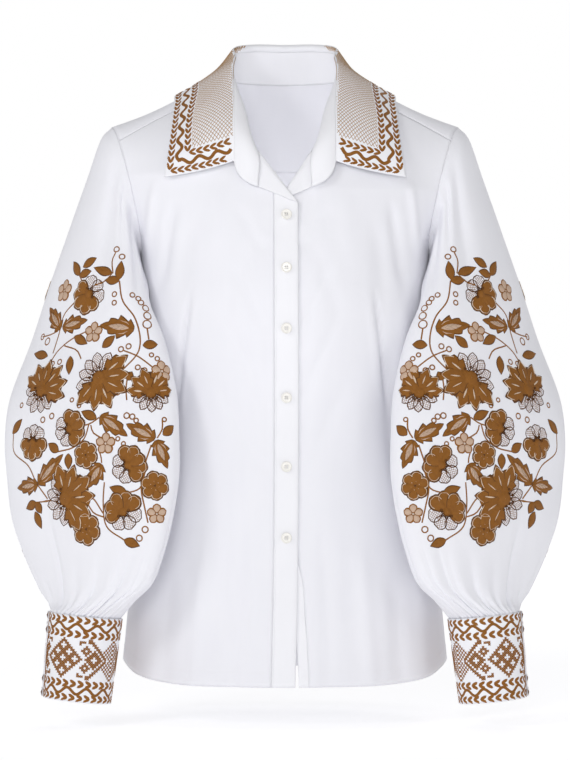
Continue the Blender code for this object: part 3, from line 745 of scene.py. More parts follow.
def slanted_creases(table, x, z):
    """The relief of straight creases that fade in and out along their length."""
    relief = np.zeros(x.shape)
    for x_top, z_top, x_end, z_end, half_width, height in table:
        share = np.clip((z - z_top) / (z_end - z_top), 0.0, 1.0)
        off = (x - x_top - (x_end - x_top) * share) / half_width
        fade = smooth(share / 0.3) * (smooth((1 - share) / 0.35) if z_end > -620 else 1.0)
        relief += height * np.exp(-off * off) * fade
    return relief


def hem_relief(below):
    """The turned hem, which stands out a little below its row of stitches."""
    return 0.35 * smooth((HEM_TURN - below) / 1.5) - 0.35 * np.exp(-(((below - HEM_TURN) / 1.2) ** 2))


def front_relief(grid, left):
    x, z = np.abs(grid[..., 0]), grid[..., 2]
    relief = FRONT_CREASE_STRENGTH * slanted_creases(FRONT_CREASES, x + (6 if left else 0), z)
    from_band = x - 12
    pucker = np.sin(z / 4.1 + 1.7 * np.sin(z / 23)) * np.sin(z / 11 + (1.0 if left else 0.2))
    relief += 0.5 * pucker * np.exp(-np.clip(from_band, 0, None) / 7) * (z < -110)
    relief += hem_relief(z - hem_height(np.arcsin(np.clip(x / TORSO.column(z), -1, 1))))
    return relief


# %% Shape of the fronts


def sink(x, z):
    """How far the left front lies behind the right one, near the centre."""
    depth = LAYER * (1 + 0.9 * smooth((z + 150) / 25))
    return depth * (1 - smooth((x - 15) / 22))


def front_grid(seam_of, start, left):
    """The points of one front, row by row from the hem, each row from its band to the side."""
    roll = np.array(NECK_POINT) - np.array(start)
    reach_z = start[1]
    for _ in range(20):
        reach_z = start[1] + roll[1] * (float(seam_of(reach_z)) - start[0]) / roll[0]
    reach_z = float(reach_z)
    row_shares, column_shares = np.arange(BODY_ROWS) / BODY_ROWS, np.linspace(0, 1, FRONT_COLUMNS + 1)
    rise, u = np.meshgrid(row_shares, column_shares, indexing="ij")
    z = hem_height(0.0) * (1 - rise) + ARMPIT_Z * rise
    for _ in range(3):
        first = front_angle(seam_of(z), z)
        angle = first + (math.pi / 2 - first) * u
        z = hem_height(angle) * (1 - rise) + ARMPIT_Z * rise
    body = torso(angle, z)
    climb, u = np.meshgrid(np.arange(CHEST_ROWS) / CHEST_ROWS, u[0], indexing="ij")
    z = ARMPIT_Z + (reach_z - ARMPIT_Z) * climb
    chest_part = chest_row(seam_of(z), z, u)

    def bottom(u):
        return chest_row(seam_of(np.full(u.shape, reach_z)), np.full(u.shape, reach_z), u)

    def top(u):
        neck = neck_edge(NECK_POINT_STATION - (NECK_POINT_STATION - YOKE_STATION) * 2 * u)
        shoulder = yoke_point(YOKE_STATION + (LAST_STATION - YOKE_STATION) * (2 * u - 1), 0.0)
        return np.where((u < 0.5)[..., None], neck, shoulder)

    def roll_side(v):
        seam = float(seam_of(reach_z))
        level = chest(seam + (NECK_POINT[0] - seam) * v, reach_z + (NECK_POINT[1] - reach_z) * v)
        return level + (top(np.zeros_like(v)) - chest(*map(np.float64, NECK_POINT))) * v[..., None]

    def arm_side(v):
        first = armhole_turn(reach_z)
        return armhole(first + (YOKE_FRONT_TURN - first) * v)

    v, u = np.meshgrid(np.linspace(0, 1, SHOULDER_ROWS + 1), u[0], indexing="ij")
    crown = 8 * np.sin(math.pi * u) * np.sin(math.pi * v)
    shoulder_part = coons(bottom, top, roll_side, arm_side, u, v) + crown[..., None] * (0, -0.75, 0.65)
    grid = np.concatenate((body, chest_part, shoulder_part))
    grid = soften(grid)
    if left:
        grid[..., 1] += sink(grid[..., 0], grid[..., 2])
    return grid


def band_grid(front, outer_of, break_at, left, columns=14):
    """A band along a front's edge, from that front's own points, cut off along the roll line."""
    tip_x, tip_z = break_at
    slope = (NECK_POINT[1] - tip_z) / (NECK_POINT[0] - tip_x)
    seam = front[: BODY_ROWS + CHEST_ROWS + 1, 0]
    x_seam, z = seam[:, 0], seam[:, 2]
    outer = outer_of(z)
    rolled = np.minimum(tip_x + (z - tip_z) / slope, x_seam - BAND_TIP)
    outer = np.where(z > tip_z, rolled, outer)
    share = np.linspace(0, 1, columns + 1)
    x = outer[:, None] + (x_seam - outer)[:, None] * share
    z = np.broadcast_to(z[:, None], x.shape)
    low = torso(front_angle(x, z), z)
    grid = np.where((z < ARMPIT_Z)[..., None], low, chest(x, z))
    if left:
        grid[..., 1] += sink(x, z)
    return grid


def lapel_grid(break_at, left, rows=40, columns=20):
    """The turned-out corner of a front, lying on it from the roll line to the stand's end."""
    row_shares = 0.03 + 0.97 * np.arange(rows + 1) / rows
    v, u = np.meshgrid(row_shares, np.linspace(0, 1, columns + 1), indexing="ij")
    end_x = NECK_POINT[0] * (1 - u) + LAPEL_POINT[0] * u
    end_z = NECK_POINT[1] * (1 - u) + LAPEL_POINT[1] * u
    x = break_at[0] * (1 - v) + end_x * v
    z = break_at[1] * (1 - v) + end_z * v
    grid = chest(x, z)
    if left:
        grid[..., 1] += sink(x, z)
    grid[..., 1] -= LAYER * (0.2 + 0.8 * smooth(u * 5)) * (0.95 + 0.25 * np.sin(math.pi * u / 2))
    return grid


# %% Make the fronts, bands and lapels


def right_free(z):
    return RIGHT_SEAM.column(z) - BAND_WIDTH


def left_seam(z):
    return LEFT_EDGE.column(z) + UNDER_BAND_WIDTH


FRONT_FLAT, FRONT_AREA = (0.27, 0.63), 0.128
fronts, front_relief_grids = {}, {}
for side, x_sign, seam_of, free_of, start in (
    ("right", -1, RIGHT_SEAM.column, right_free, RIGHT_BREAK),
    ("left", 1, left_seam, LEFT_EDGE.column, LEFT_BREAK),
):
    is_left = side == "left"
    grid = front_grid(seam_of, start, is_left)
    band = band_grid(grid, free_of, start, is_left)
    fronts[side] = (grid, band)
    relief = front_relief(grid, is_left)
    front_relief_grids[side] = grid + grid_normals(grid) * relief[..., None]
    panel = cloth(f"front_{side}_cloth", front_relief_grids[side], WALL, WHITE, x_sign)
    declare(panel, f"front_{side}", FRONT_FLAT)
    across = np.linspace(0, 1, band.shape[1])
    roundness = 0.25 * (np.exp(-((across * 8) ** 2)) + np.exp(-(((1 - across) * 8) ** 2)))
    x, z = band[..., 0], band[..., 2]
    waver = 0.8 * np.sin(z / 17 + 0.6 + x / 9) * np.sin(z / 6.3 + x / 7)
    strip = cloth(f"band_{side}_cloth", band, FIRM_WALL, FIRM_WHITE, x_sign, relief=waver * 0.5 - roundness)
    width = BAND_WIDTH if side == "right" else UNDER_BAND_WIDTH
    declare(strip, f"band_{side}", (width * MM, 0.53))
    lapel = cloth(f"lapel_{side}_cloth", lapel_grid(start, is_left), WALL, FIRM_WHITE, x_sign)
    declare(lapel, f"lapel_{side}", (0.042, 0.055))
    print(side, "front has", grid.shape[0] * grid.shape[1], "points")

# %% [markdown]
# ## The back and the yoke
# The yoke is the double piece over the shoulders, and the back hangs from it. Its cloth falls in
# a few long soft folds that are not alike, and its hem is turned and stitched like the fronts'.

# %% Make the back and the yoke
BACK_COLUMNS = 110
BACK_CREASES = (
    (-30, -100, -44, -330, 8.0, -1.6),
    (26, -95, 30, -380, 9.0, -1.8),
    (-96, -140, -84, -360, 9.0, 1.8),
    (88, -150, 74, -345, 8.0, 1.6),
    (-62, -380, -78, -626, 13.0, 2.4),
    (-12, -400, -8, -626, 15.0, -2.2),
    (48, -360, 60, -626, 12.0, 2.2),
    (104, -420, 118, -626, 11.0, -2.0),
    (-122, -400, -132, -626, 11.0, -2.0),
    (128, -190, 140, -330, 6.0, -1.3),
    (-134, -180, -142, -320, 6.0, -1.4),
)


def back_grid():
    """The back, from the hem up to the yoke, from the wearer's right side seam to the left one."""
    half = BACK_COLUMNS // 2
    columns = np.arange(BACK_COLUMNS + 1)
    rise, column = np.meshgrid(np.arange(BODY_ROWS) / BODY_ROWS, columns, indexing="ij")
    angle = math.pi / 2 * (1 - column / half) + math.pi
    low = torso(angle, hem_height(angle) * (1 - rise) + ARMPIT_Z * rise)
    steps = CHEST_ROWS + SHOULDER_ROWS
    climb, column = np.meshgrid(np.arange(steps + 1) / steps, columns, indexing="ij")
    z = ARMPIT_Z + (YOKE_BACK_Z - ARMPIT_Z) * climb
    edge, reach = chest_edge(z, front=False)
    x = edge[..., 0] * np.sin(reach * (column / half - 1)) / np.sin(reach)
    return soften(np.concatenate((low, chest(x, z, front=False))))


grid = back_grid()
x, z = grid[..., 0], grid[..., 2]
below = z - hem_height(np.arcsin(np.clip(np.abs(x) / TORSO.column(z), 0, 1)))
relief = slanted_creases(BACK_CREASES, x, z) + hem_relief(below)
back_relief_grid = grid - grid_normals(grid) * relief[..., None]
back = cloth("back_cloth", back_relief_grid, WALL, WHITE)
declare(back, "back", (0.47, 0.58))

stations_round = np.linspace(-LAST_STATION, LAST_STATION, 113)
t, station = np.meshgrid(np.linspace(1, 0, 33), stations_round, indexing="ij")
yoke_cloth = yoke_point(station, t)
relief = 0.5 * np.exp(-((t / 0.035) ** 2)) + 0.5 * np.exp(-(((1 - t) / 0.035) ** 2))
yoke = cloth("yoke_cloth", yoke_cloth, WALL, WHITE, relief=relief)
declare(yoke, "yoke", (0.42, 0.15))

# %% [markdown]
# ## The collar
# The stand and the leaf are two layers of cotton with a stiff layer between them, so they hold
# their curve and show no small creases. Their edges are pulled in by a row of stitches.

# %% Make the stand and the leaf
COLLAR_STEPS = 176
stations = np.linspace(-LAST_STATION, LAST_STATION, COLLAR_STEPS + 1)
t, station = np.meshgrid(np.linspace(0, 1, 19), stations, indexing="ij")
stand = cloth("collar_stand_cloth", stand_point(station, t), FIRM_WALL, FIRM_WHITE)
declare(stand, "collar_stand", (0.42, 0.045))
leaf_shares = np.concatenate((np.array((-FOLD_SHARE, -FOLD_SHARE / 2)), np.linspace(0, 1, 41)))
t, station = np.meshgrid(leaf_shares, stations, indexing="ij")
relief = 0.5 * np.sin(station * 1.9) * np.sin(math.pi * np.clip(t, 0, 1)) ** 2
leaf_line = leaf_point(station, t)
leaf_line += grid_normals(leaf_line) * relief[..., None]
leaf = cloth("collar_leaf_cloth", leaf_line, FIRM_WALL, FIRM_WHITE)
declare(leaf, "collar_leaf", (0.52, 0.085))

# %% [markdown]
# ## The sleeves and cuffs
# One grid serves both sleeves, with x turned round for the other side. The cuff is one strip
# wound once round the wrist, whose end laps over its start at the back.

# %% Make the sleeves and cuffs
SLEEVE_RINGS, SLEEVE_SIDES = 116, 310
CUFF_ROWS, CUFF_SIDES = 30, 150
share = np.linspace(0, 1, SLEEVE_RINGS + 1)
ring, side_turn = np.meshgrid(
    SLEEVE_LAST * (share + 0.3 * share * (1 - share)),
    2 * math.pi * np.arange(SLEEVE_SIDES) / SLEEVE_SIDES,
    indexing="ij",
)
sleeve_cloth = sleeve_point(ring, side_turn)
tucked = []
for inward, down in ((0.95, 2.5), (0.9, 7.0)):
    middle = sleeve_cloth[-1].mean(axis=0)
    tucked.append(middle + (sleeve_cloth[-1] - middle) * inward + cuff_frame()[0] * down)
sleeve_cloth = np.concatenate((sleeve_cloth, np.array(tucked)))
lap_start = -math.pi / 2 + CUFF_LAP_TURN - CUFF_LAP / 2
row_share, wound = np.meshgrid(
    np.linspace(0, 1, CUFF_ROWS + 1),
    (2 * math.pi + CUFF_LAP) * np.linspace(0, 1, CUFF_SIDES + 1),
    indexing="ij",
)
cuff_cloth = cuff_point(row_share, lap_start + wound, cuff_lap(wound))
cuff_relief = -0.3 * np.exp(-((row_share / 0.02) ** 2)) - 0.3 * np.exp(-(((1 - row_share) / 0.02) ** 2))
for side, x_sign in (("right", -1), ("left", 1)):
    sleeve = cloth(f"sleeve_{side}_cloth", sleeve_cloth, WALL, WHITE, x_sign, closed=True)
    declare(sleeve, f"sleeve_{side}", (0.54, 0.58))
    cuff = cloth(f"cuff_{side}_cloth", cuff_cloth, FIRM_WALL, FIRM_WHITE, x_sign, relief=-cuff_relief)
    declare(cuff, f"cuff_{side}", (0.25, 0.09))
print("sleeve points:", sleeve_cloth.shape[0] * sleeve_cloth.shape[1])

# %% [markdown]
# ## Places on the cloth
# Embroidery lies on cloth that is already shaped. A place on a piece is a row and a column of its
# grid, whole or not, and the `Surface` below turns a place into a point, lifted off the cloth.

# %% Places on a cloth grid
GRAIN = {BROWN: "brown_thread", DARK: "brown_thread", BEIGE: "beige_thread"}
GRAIN.update({CREAM: "beige_thread", LATTICE: "beige_thread", sewing.material: "white_cotton"})
SUNK = 0.15


class Surface:
    """A cloth grid that other things are set on, and which side of the body it belongs to."""

    def __init__(self, grid, x_sign=1, closed=False, face=WALL / 2):
        normals = grid_normals(grid, closed)
        if closed:
            grid, normals = (np.concatenate((g, g[:, :1]), axis=1) for g in (grid, normals))
        self.grid, self.normals, self.closed = grid, normals, closed
        self.x_sign, self.face = x_sign, face
        self.rows, self.columns = grid.shape[:2]

    def blend(self, values, place):
        row, column = place[..., 0], place[..., 1]
        if self.closed:
            column = column % (self.columns - 1)
        row = np.clip(row, 0, self.rows - 1.001)
        column = np.clip(column, 0, self.columns - 1.001)
        r, c = row.astype(int), column.astype(int)
        v, u = (row - r)[..., None], (column - c)[..., None]
        low = values[r, c] * (1 - u) + values[r, c + 1] * u
        high = values[r + 1, c] * (1 - u) + values[r + 1, c + 1] * u
        return low * (1 - v) + high * v

    def at(self, place, lift=0.0):
        lift = np.asarray(lift, float)[..., None] + (self.face if np.any(lift) else 0.0)
        return self.blend(self.grid, place) + self.blend(self.normals, place) * lift

    def steps(self, place):
        """How far the point moves for one row, and for one column."""
        row, column = np.array((0.5, 0.0)), np.array((0.0, 0.5))
        down = self.blend(self.grid, place + row) - self.blend(self.grid, place - row)
        across = self.blend(self.grid, place + column) - self.blend(self.grid, place - column)
        return down, across

    def seen_at(self, x, z):
        """The place on the front of this surface at an x and a height."""
        hidden = self.normals[..., 1] > -0.02
        off = np.hypot(self.grid[..., 0] - x, self.grid[..., 2] - z) + 1e4 * hidden
        place = np.array(np.unravel_index(np.argmin(off), off.shape), float)
        for _ in range(2):
            down, across = (step[[0, 2]] for step in self.steps(place))
            both = np.stack((down, across), -1)
            gone = np.array((x, z)) - self.at(place)[[0, 2]]
            if abs(np.linalg.det(both)) > 0.5:
                place = place + np.clip(np.linalg.solve(both, gone), -1.5, 1.5)
        return place


# %% [markdown]
# ## A pen for thread
# Machine embroidery is built from two things: fills of satin stitch, and lines of satin stitch.
# The pen stands at one place, turned some way, and draws both as thin domed strips of faces
# whose edges sink into the cloth. What it draws is collected by thread and made into one mesh.

# %% The pen
def satin_profile(s, lean, blunt):
    """Half the width of a petal along its length: a lean above 1 puts the widest part near the tip."""
    return np.sin(math.pi * np.clip(s, 0, 1) ** lean) ** blunt


def toothed(s, teeth):
    """How much teeth widen or narrow a petal along its length."""
    return 0.74 + 0.56 * ((s * (teeth + 0.6) + 0.35) % 1.0) if teeth else 1.0


class Pen:
    def __init__(self, surface):
        self.surface, self.drawn = surface, {}

    def stand(self, place, degrees=0.0):
        """Moves to a place. Its first axis then points this far round from outward to upward."""
        surface = self.surface
        self.place = np.asarray(place, float)
        normal = unit(surface.blend(surface.normals, self.place))
        up = unit(np.array((0.0, 0.0, 1.0)) - normal * normal[2])
        self.flat_axes = np.array((np.cross(up, normal), up))
        self.centre = surface.at(self.place)
        self.turn(degrees)

    def turn(self, degrees):
        c, s = math.cos(math.radians(degrees)), math.sin(math.radians(degrees))
        self.axes = np.array(((c, s), (-s, c))) @ self.flat_axes

    def places(self, drawn):
        """Where drawn points lie on the surface, millimetre for millimetre."""
        wanted = self.centre + drawn @ self.axes
        place = np.broadcast_to(self.place, drawn.shape).copy()
        for _ in range(3):
            down, across = self.surface.steps(place)
            off = wanted - self.surface.at(place)
            dd, da, aa = (np.sum(a * b, -1) for a, b in ((down, down), (down, across), (across, across)))
            do, ao = np.sum(down * off, -1), np.sum(across * off, -1)
            whole = np.maximum(dd * aa - da * da, 1e-6)
            move = np.stack(((do * aa - ao * da) / whole, (ao * dd - do * da) / whole), -1)
            place += np.clip(move, -12, 12)
        return place

    def keep(self, thread, points, flat):
        self.drawn.setdefault(thread, []).append((points, flat))

    def lay(self, thread, drawn, lift, flat):
        """Lays a grid of drawn points on the cloth, turned so that it faces outward."""
        a, b = np.gradient(drawn, axis=1), np.gradient(drawn, axis=0)
        if np.sum(a[..., 0] * b[..., 1] - a[..., 1] * b[..., 0]) < 0:
            drawn, lift, flat = drawn[:, ::-1], lift[:, ::-1], flat[:, ::-1]
        self.keep(thread, self.surface.at(self.places(drawn), lift), flat)

    def petal(self, thread, start, length, width, height=0.5, lean=0.9, blunt=0.85, teeth=0, rows=10):
        """A filled petal or leaf along the first axis."""
        s = np.linspace(0.02, 0.995, rows)
        half = width / 2 * toothed(s, teeth) * satin_profile(s, lean, blunt)
        s, t = np.meshgrid(s, np.array((-1, -0.8, 0, 0.8, 1)), indexing="ij")
        drawn = np.stack((start + s * length, t * half[:, None]), -1)
        lift = -SUNK + (height + SUNK) * (1 - np.abs(t) ** 5)
        slanted = s * length - 0.5 * np.abs(drawn[..., 1])
        self.lay(thread, drawn, lift, np.stack((slanted, drawn[..., 1]), -1))

    def rimmed(self, thread, edge, start, length, width, height, rim=1.2, **shape):
        """A petal on a slightly larger one in another thread, whose edge shows round it."""
        self.petal(edge, start - 0.5 * rim, length + 1.4 * rim, width + 2 * rim, height - 0.12, **shape)
        self.petal(thread, start, length, width, height + 0.1, **shape)

    def line(self, thread, path, width, height=0.4, taper=0.0):
        """A line of satin stitch on a drawn path, thinner at both ends where it tapers."""
        path = np.asarray(path, float)
        side = unit(np.gradient(path, axis=0)[:, ::-1] * (1, -1))
        along = lengths_along(path[:, None], 0)[:, 0]
        ends = np.minimum(along, along[-1] - along) / max(along[-1], 1e-6) * 2
        half = width / 2 * (1 - taper + taper * np.sqrt(np.clip(ends, 0, 1)))
        t = np.array((-1, 0, 1))
        drawn = path[:, None] + side[:, None] * half[:, None, None] * t[:, None]
        lift = np.broadcast_to(np.array((-SUNK, height, -SUNK)), drawn.shape[:2])
        flat = np.stack(np.broadcast_arrays(along[:, None], t * width / 2), -1)
        self.lay(thread, drawn, lift, flat)

    def outline(self, thread, start, length, width, line, height, first=0.0, shrink=1.0, **shape):
        """A line along a petal's edge. A share below 1 draws it inside, from some way up."""
        s = np.linspace(first, 0.99, 9)
        half = width / 2 * satin_profile(s, **shape) * shrink
        middle = (1 + first) / 2
        x = start + length * (middle + (s - middle) * (shrink if shrink < 1 else 1.0))
        path = np.concatenate((np.stack((x, half), -1), np.stack((x, -half), -1)[-2::-1]))
        self.line(thread, path, line, height)

    def ring(self, thread, a, b, radius, width, height=0.5):
        round_it = np.linspace(0, 2 * math.pi, 13)
        path = np.stack((a + radius * np.cos(round_it), b + radius * np.sin(round_it)), -1)
        self.line(thread, path, width, height)

    def disc(self, thread, a, b, radius, height):
        """A round filled patch, wider than a dot."""
        s, round_it = np.meshgrid((1.0, 0.75, 0.02), np.linspace(0, 2 * math.pi, 17), indexing="ij")
        drawn = np.stack((a + radius * s * np.cos(round_it), b + radius * s * np.sin(round_it)), -1)
        self.lay(thread, drawn, np.where(s > 0.9, -SUNK, height), drawn)

    def dot(self, thread, a, b, radius, height=0.6):
        t = np.array((-1, 0, 1.0))
        v, u = np.meshgrid(t, t, indexing="ij")
        far = np.maximum(np.hypot(u, v), 1e-6)
        square = np.stack((u, v), -1) * (np.maximum(np.abs(u), np.abs(v)) / far)[..., None]
        lift = np.where(np.maximum(np.abs(u), np.abs(v)) > 0.5, -SUNK, height)
        self.lay(thread, square * radius + (a, b), lift, square * radius)

    def net(self, thread, start, length, width, lean, blunt, spacing, line, height=0.35):
        """Crossed slanting lines inside a petal, and the petal's edge."""
        self.outline(DARK, start, length, width, line * 2.5, height + 0.15, lean=lean, blunt=blunt)
        for slant in (-1, 1):
            for first in np.arange(-width / 2, length + width / 2, spacing):
                b = np.linspace(-width / 2, width / 2, 7)
                a = first + slant * b
                s = np.clip(a / length, 0, 1)
                inside = (np.abs(b) < width / 2 * satin_profile(s, lean, blunt)) & (a > 0) & (a < length)
                if np.count_nonzero(inside) >= 2:
                    self.line(thread, np.stack((a + start, b), -1)[inside], line, height * 0.8)

    def stem(self, thread, waypoints, width, height=0.35):
        """A line through places seen from the front, given by x and height."""
        points = np.array(waypoints, float)
        gone = lengths_along(points[:, None], 0)[:, 0]
        curve = Table(np.column_stack((gone, points)))
        steps = max(4, int(gone[-1] / 3.5))
        places = np.array([self.surface.seen_at(*curve(g)) for g in np.linspace(0, gone[-1], steps)])
        self.track(thread, places, width, height)

    def track(self, thread, places, width, height=0.35, offset=None):
        """A line along places on the surface, moved sideways by an offset."""
        points = self.surface.at(places)
        normal = unit(self.surface.blend(self.surface.normals, places))
        tangent = unit(np.gradient(points, axis=0))
        side = unit(np.cross(normal, tangent))
        if offset is not None:
            points = points + side * offset[:, None]
            side = unit(np.cross(normal, np.gradient(points, axis=0)))
        along = lengths_along(points[:, None], 0)[:, 0]
        t = np.array((1, 0, -1))
        lift = self.surface.face + np.array((-SUNK, height, -SUNK))
        grid = points[:, None] + side[:, None] * (t * width / 2)[:, None] + normal[:, None] * lift[:, None]
        self.keep(thread, grid, np.stack(np.broadcast_arrays(along[:, None], t * width / 2), -1))

    def finish(self, name):
        """Makes one mesh for each thread."""
        for thread, parts in self.drawn.items():
            count, points, faces, flats = 0, [], [], []
            for grid, flat in parts:
                rows, columns = grid.shape[:2]
                faces.append(grid_faces(rows, columns, flip=self.surface.x_sign < 0) + count)
                points.append(grid.reshape(-1, 3))
                flats.append(flat.reshape(-1, 2))
                count += rows * columns
            points = np.concatenate(points) * (self.surface.x_sign, 1, 1)
            label = f"{name}_{thread.name.split('_')[0]}"
            made = make_mesh(label, points, np.concatenate(faces), np.concatenate(flats), thread)
            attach(made, "root")
            print(label, "has", len(made.data.polygons), "faces")


# %% [markdown]
# ## The flowers
# The design is a climbing garden: big lilies and peonies whose petals are half solid brown and
# half open net, small rosettes, pale five-petalled flowers, toothed leaves and berries. Each
# kind is one function. Sizes and turns vary a little, as they would in a drawn design.

# %% Kinds of flower and leaf
LOBED = dict(lean=1.55, blunt=0.5)
bloom_chance = np.random.default_rng(23)


def lily(pen, place, radius, pale_towards):
    """Pointed toothed petals round three quarters, and a short net of petals in the last one."""
    pen.stand(place)
    for number in range(5):
        pen.turn(pale_towards + (number - 2) * 32 + bloom_chance.uniform(-3, 3))
        length = radius * bloom_chance.uniform(0.84, 0.92)
        pen.net(BROWN, 0.2 * length, 0.8 * length, 0.46 * length, 1.0, 0.6, 3.0, 0.6)
    for number in range(6):
        pen.turn(pale_towards + 97 + number * 33 + bloom_chance.uniform(-4, 4))
        length = radius * bloom_chance.uniform(1.08, 1.24)
        width, lift = 0.5 * length, 0.45 + 0.3 * (number % 3)
        body = (0.04 * length, 0.96 * length, width)
        pen.rimmed(BROWN, DARK, *body, lift, teeth=3, rows=19, lean=0.95, blunt=0.95)
        pen.outline(CREAM, *body, 1.1, lift + 0.4, first=0.66, shrink=0.74, lean=1.0, blunt=0.85)
        pen.petal(CREAM, 0.34 * length, 0.36 * length, 2.4, lift + 0.35, rows=6)
        pen.line(DARK, [(0.3 * length, 0), (0.5 * length, 0.1), (0.72 * length, 0)], 0.6, lift + 0.55, 0.5)
    pen.turn(pale_towards)
    pen.disc(BROWN, 0, 0, 0.27 * radius, 1.3)
    for number in range(9):
        round_it = math.radians(-80 + 20 * number)
        reach = radius * (0.25 if number % 2 else 0.36)
        pen.ring(DARK, reach * math.cos(round_it), reach * math.sin(round_it), 1.2, 1.0, 1.5)


def peony(pen, place, radius, pale_towards):
    """Broad scalloped petals on one side, and three netted ones on the other."""
    pen.stand(place)
    for number in range(3):
        pen.turn(pale_towards + (number - 1) * 48 + bloom_chance.uniform(-3, 3))
        length = radius * bloom_chance.uniform(0.93, 1.02)
        pen.net(BROWN, 0.26 * length, 0.74 * length, 0.7 * length, 1.3, 0.45, 3.0, 0.6)
    for number in range(5):
        pen.turn(pale_towards + 100 + number * 40 + bloom_chance.uniform(-3, 3))
        length = radius * bloom_chance.uniform(0.97, 1.1)
        body = (0.03 * length, 0.97 * length, 0.72 * length)
        lift = 0.45 + 0.3 * (number % 3)
        pen.rimmed(BROWN, DARK, *body, lift, rows=10, **LOBED)
        pen.outline(CREAM, *body, 1.1, lift + 0.4, first=0.5, shrink=0.8, **LOBED)
    pen.turn(pale_towards)
    pen.disc(BROWN, 0, 0, 0.24 * radius, 1.3)
    for number in range(7):
        round_it = math.radians(-75 + 25 * number)
        reach = radius * (0.22 if number % 2 else 0.32)
        pen.ring(DARK, reach * math.cos(round_it), reach * math.sin(round_it), 1.2, 0.9, 1.5)


def rosette(pen, place, radius):
    pen.stand(place)
    lobes = 8 if radius < 14 else 6
    width = radius * (0.68 if lobes == 8 else 0.88)
    for number in range(lobes):
        pen.turn(number * 360 / lobes + 18)
        lift = 0.45 + 0.28 * (number % 2)
        body = (0.04 * radius, 0.96 * radius, width)
        pen.rimmed(BROWN, DARK, *body, lift, rows=9, **LOBED)
        pen.outline(CREAM, *body, 1.2, lift + 0.4, first=0.5, shrink=0.78, **LOBED)
        pen.dot(CREAM, 0.3 * radius, 0, 0.75, 1.3)
    pen.dot(DARK, 0, 0, 0.15 * radius, 1.25)


def small_flower(pen, place, radius):
    pen.stand(place)
    for number in range(5):
        pen.turn(number * 72 + 90)
        lift = 0.4 + 0.26 * (number % 3)
        body = (0.16 * radius, 0.86 * radius, 0.8 * radius)
        pen.rimmed(BEIGE, BROWN, *body, lift, rim=1.3, rows=8, lean=1.25, blunt=0.5)
    pen.ring(BROWN, 0, 0, 0.17 * radius, 1.2, 1.1)
    pen.dot(CREAM, 0, 0, 0.12 * radius, 1.2)


def leaf_of(pen, base, tip, width):
    """A leaf between two places seen from the front. A wide one is toothed and veined."""
    first, last = (pen.surface.seen_at(*end) for end in (base, tip))
    pen.stand(first)
    way = pen.surface.at(last) - pen.centre
    pen.turn(math.degrees(math.atan2(way @ pen.flat_axes[1], way @ pen.flat_axes[0])))
    length = float(np.linalg.norm(way))
    teeth = width > 12
    shape = dict(lean=0.7, blunt=0.9, teeth=3, rows=22) if teeth else dict(lean=0.85, blunt=0.9, rows=9)
    pen.rimmed(BROWN, DARK, 0, length, width, 0.45, rim=1.0, **shape)
    if not teeth:
        pen.line(DARK, [(0, 0), (0.4 * length, 0.3), (0.7 * length, 0)], 0.6, 0.55, 0.9)
        return
    pen.petal(BEIGE, 0.14 * length, 0.6 * length, 0.36 * width, 0.9, rows=8)
    for side in (-1, 1):
        path = [(0.16, 0.16), (0.26, 0.28), (0.42, 0.34)]
        pen.line(BEIGE, [(a * length, side * b * width) for a, b in path], 2.6, 0.85, 0.9)
        for share in (0.25, 0.4, 0.55):
            vein = [(share * length, 0), ((share + 0.06) * length, side * 0.07 * width)]
            pen.line(DARK, vein + [((share + 0.13) * length, side * 0.13 * width)], 0.6, 1.05, 0.5)
    pen.line(DARK, [(0.0, 0), (0.4 * length, 0.4), (0.85 * length, 0)], 0.8, 1.1, 0.6)


# %% [markdown]
# ## The sleeve's design
# The charts below say where each flower of the left sleeve stands, by x and height in
# millimetres. The right sleeve is the same, turned round. The design goes on round the outer
# side to the back, and the hidden inner side stays plain, where the sleeve rubs on the body.

# %% Charts of the sleeve
BLOOM = 1.1  # the embroidery's tension spreads a flower by about this much
# x, height, radius, and which way the open petals point, in degrees from outward to upward
LILIES = ((257, -317, 27, -68), (194, -304, 29, 42), (139, -319, 22, -92), (229, -430, 29, -22))
PEONIES = (
    (207, -215, 19, 140), (225, -357, 18, -24), (266, -372, 18, 88),
    (162, -394, 18, -30), (167, -442, 19, -120),
)
ROSETTES = ((207, -384, 13), (134, -415, 13.5), (206, -461, 15.5))
SMALL_FLOWERS = ((235, -211, 10.5), (201, -256, 9.5), (128, -297, 9.5), (186, -372, 9.5), (132, -444, 8.5))
# x and height of its base and of its tip, then its width
TOOTHED_LEAVES = (
    (238, -252, 252, -229, 15),
    (236, -250, 208, -243, 15),
    (157, -253, 195, -249, 18),
    (192, -343, 163, -364, 15),
    (134, -367, 165, -352, 15),
    (133, -368, 121, -397, 14),
    (190, -393, 205, -418, 16),
    (260, -416, 232, -384, 15),
    (260, -416, 284, -421, 14),
)
SMALL_LEAVES = (
    (214, -186, 199, -177), (182, -194, 202, -187), (174, -202, 190, -201), (175, -201, 172, -181),
    (218, -195, 225, -180), (218, -195, 205, -191), (222, -260, 208, -268), (191, -272, 178, -260),
    (226, -281, 227, -300), (252, -281, 268, -278), (148, -270, 132, -269), (164, -306, 159, -298),
    (290, -363, 279, -348), (196, -346, 212, -339), (237, -381, 248, -373), (226, -383, 226, -399),
    (126, -363, 115, -354), (163, -423, 181, -417), (204, -436, 209, -420), (166, -471, 150, -477),
    (262, -435, 273, -442), (262, -435, 256, -446), (263, -445, 256, -462),
)
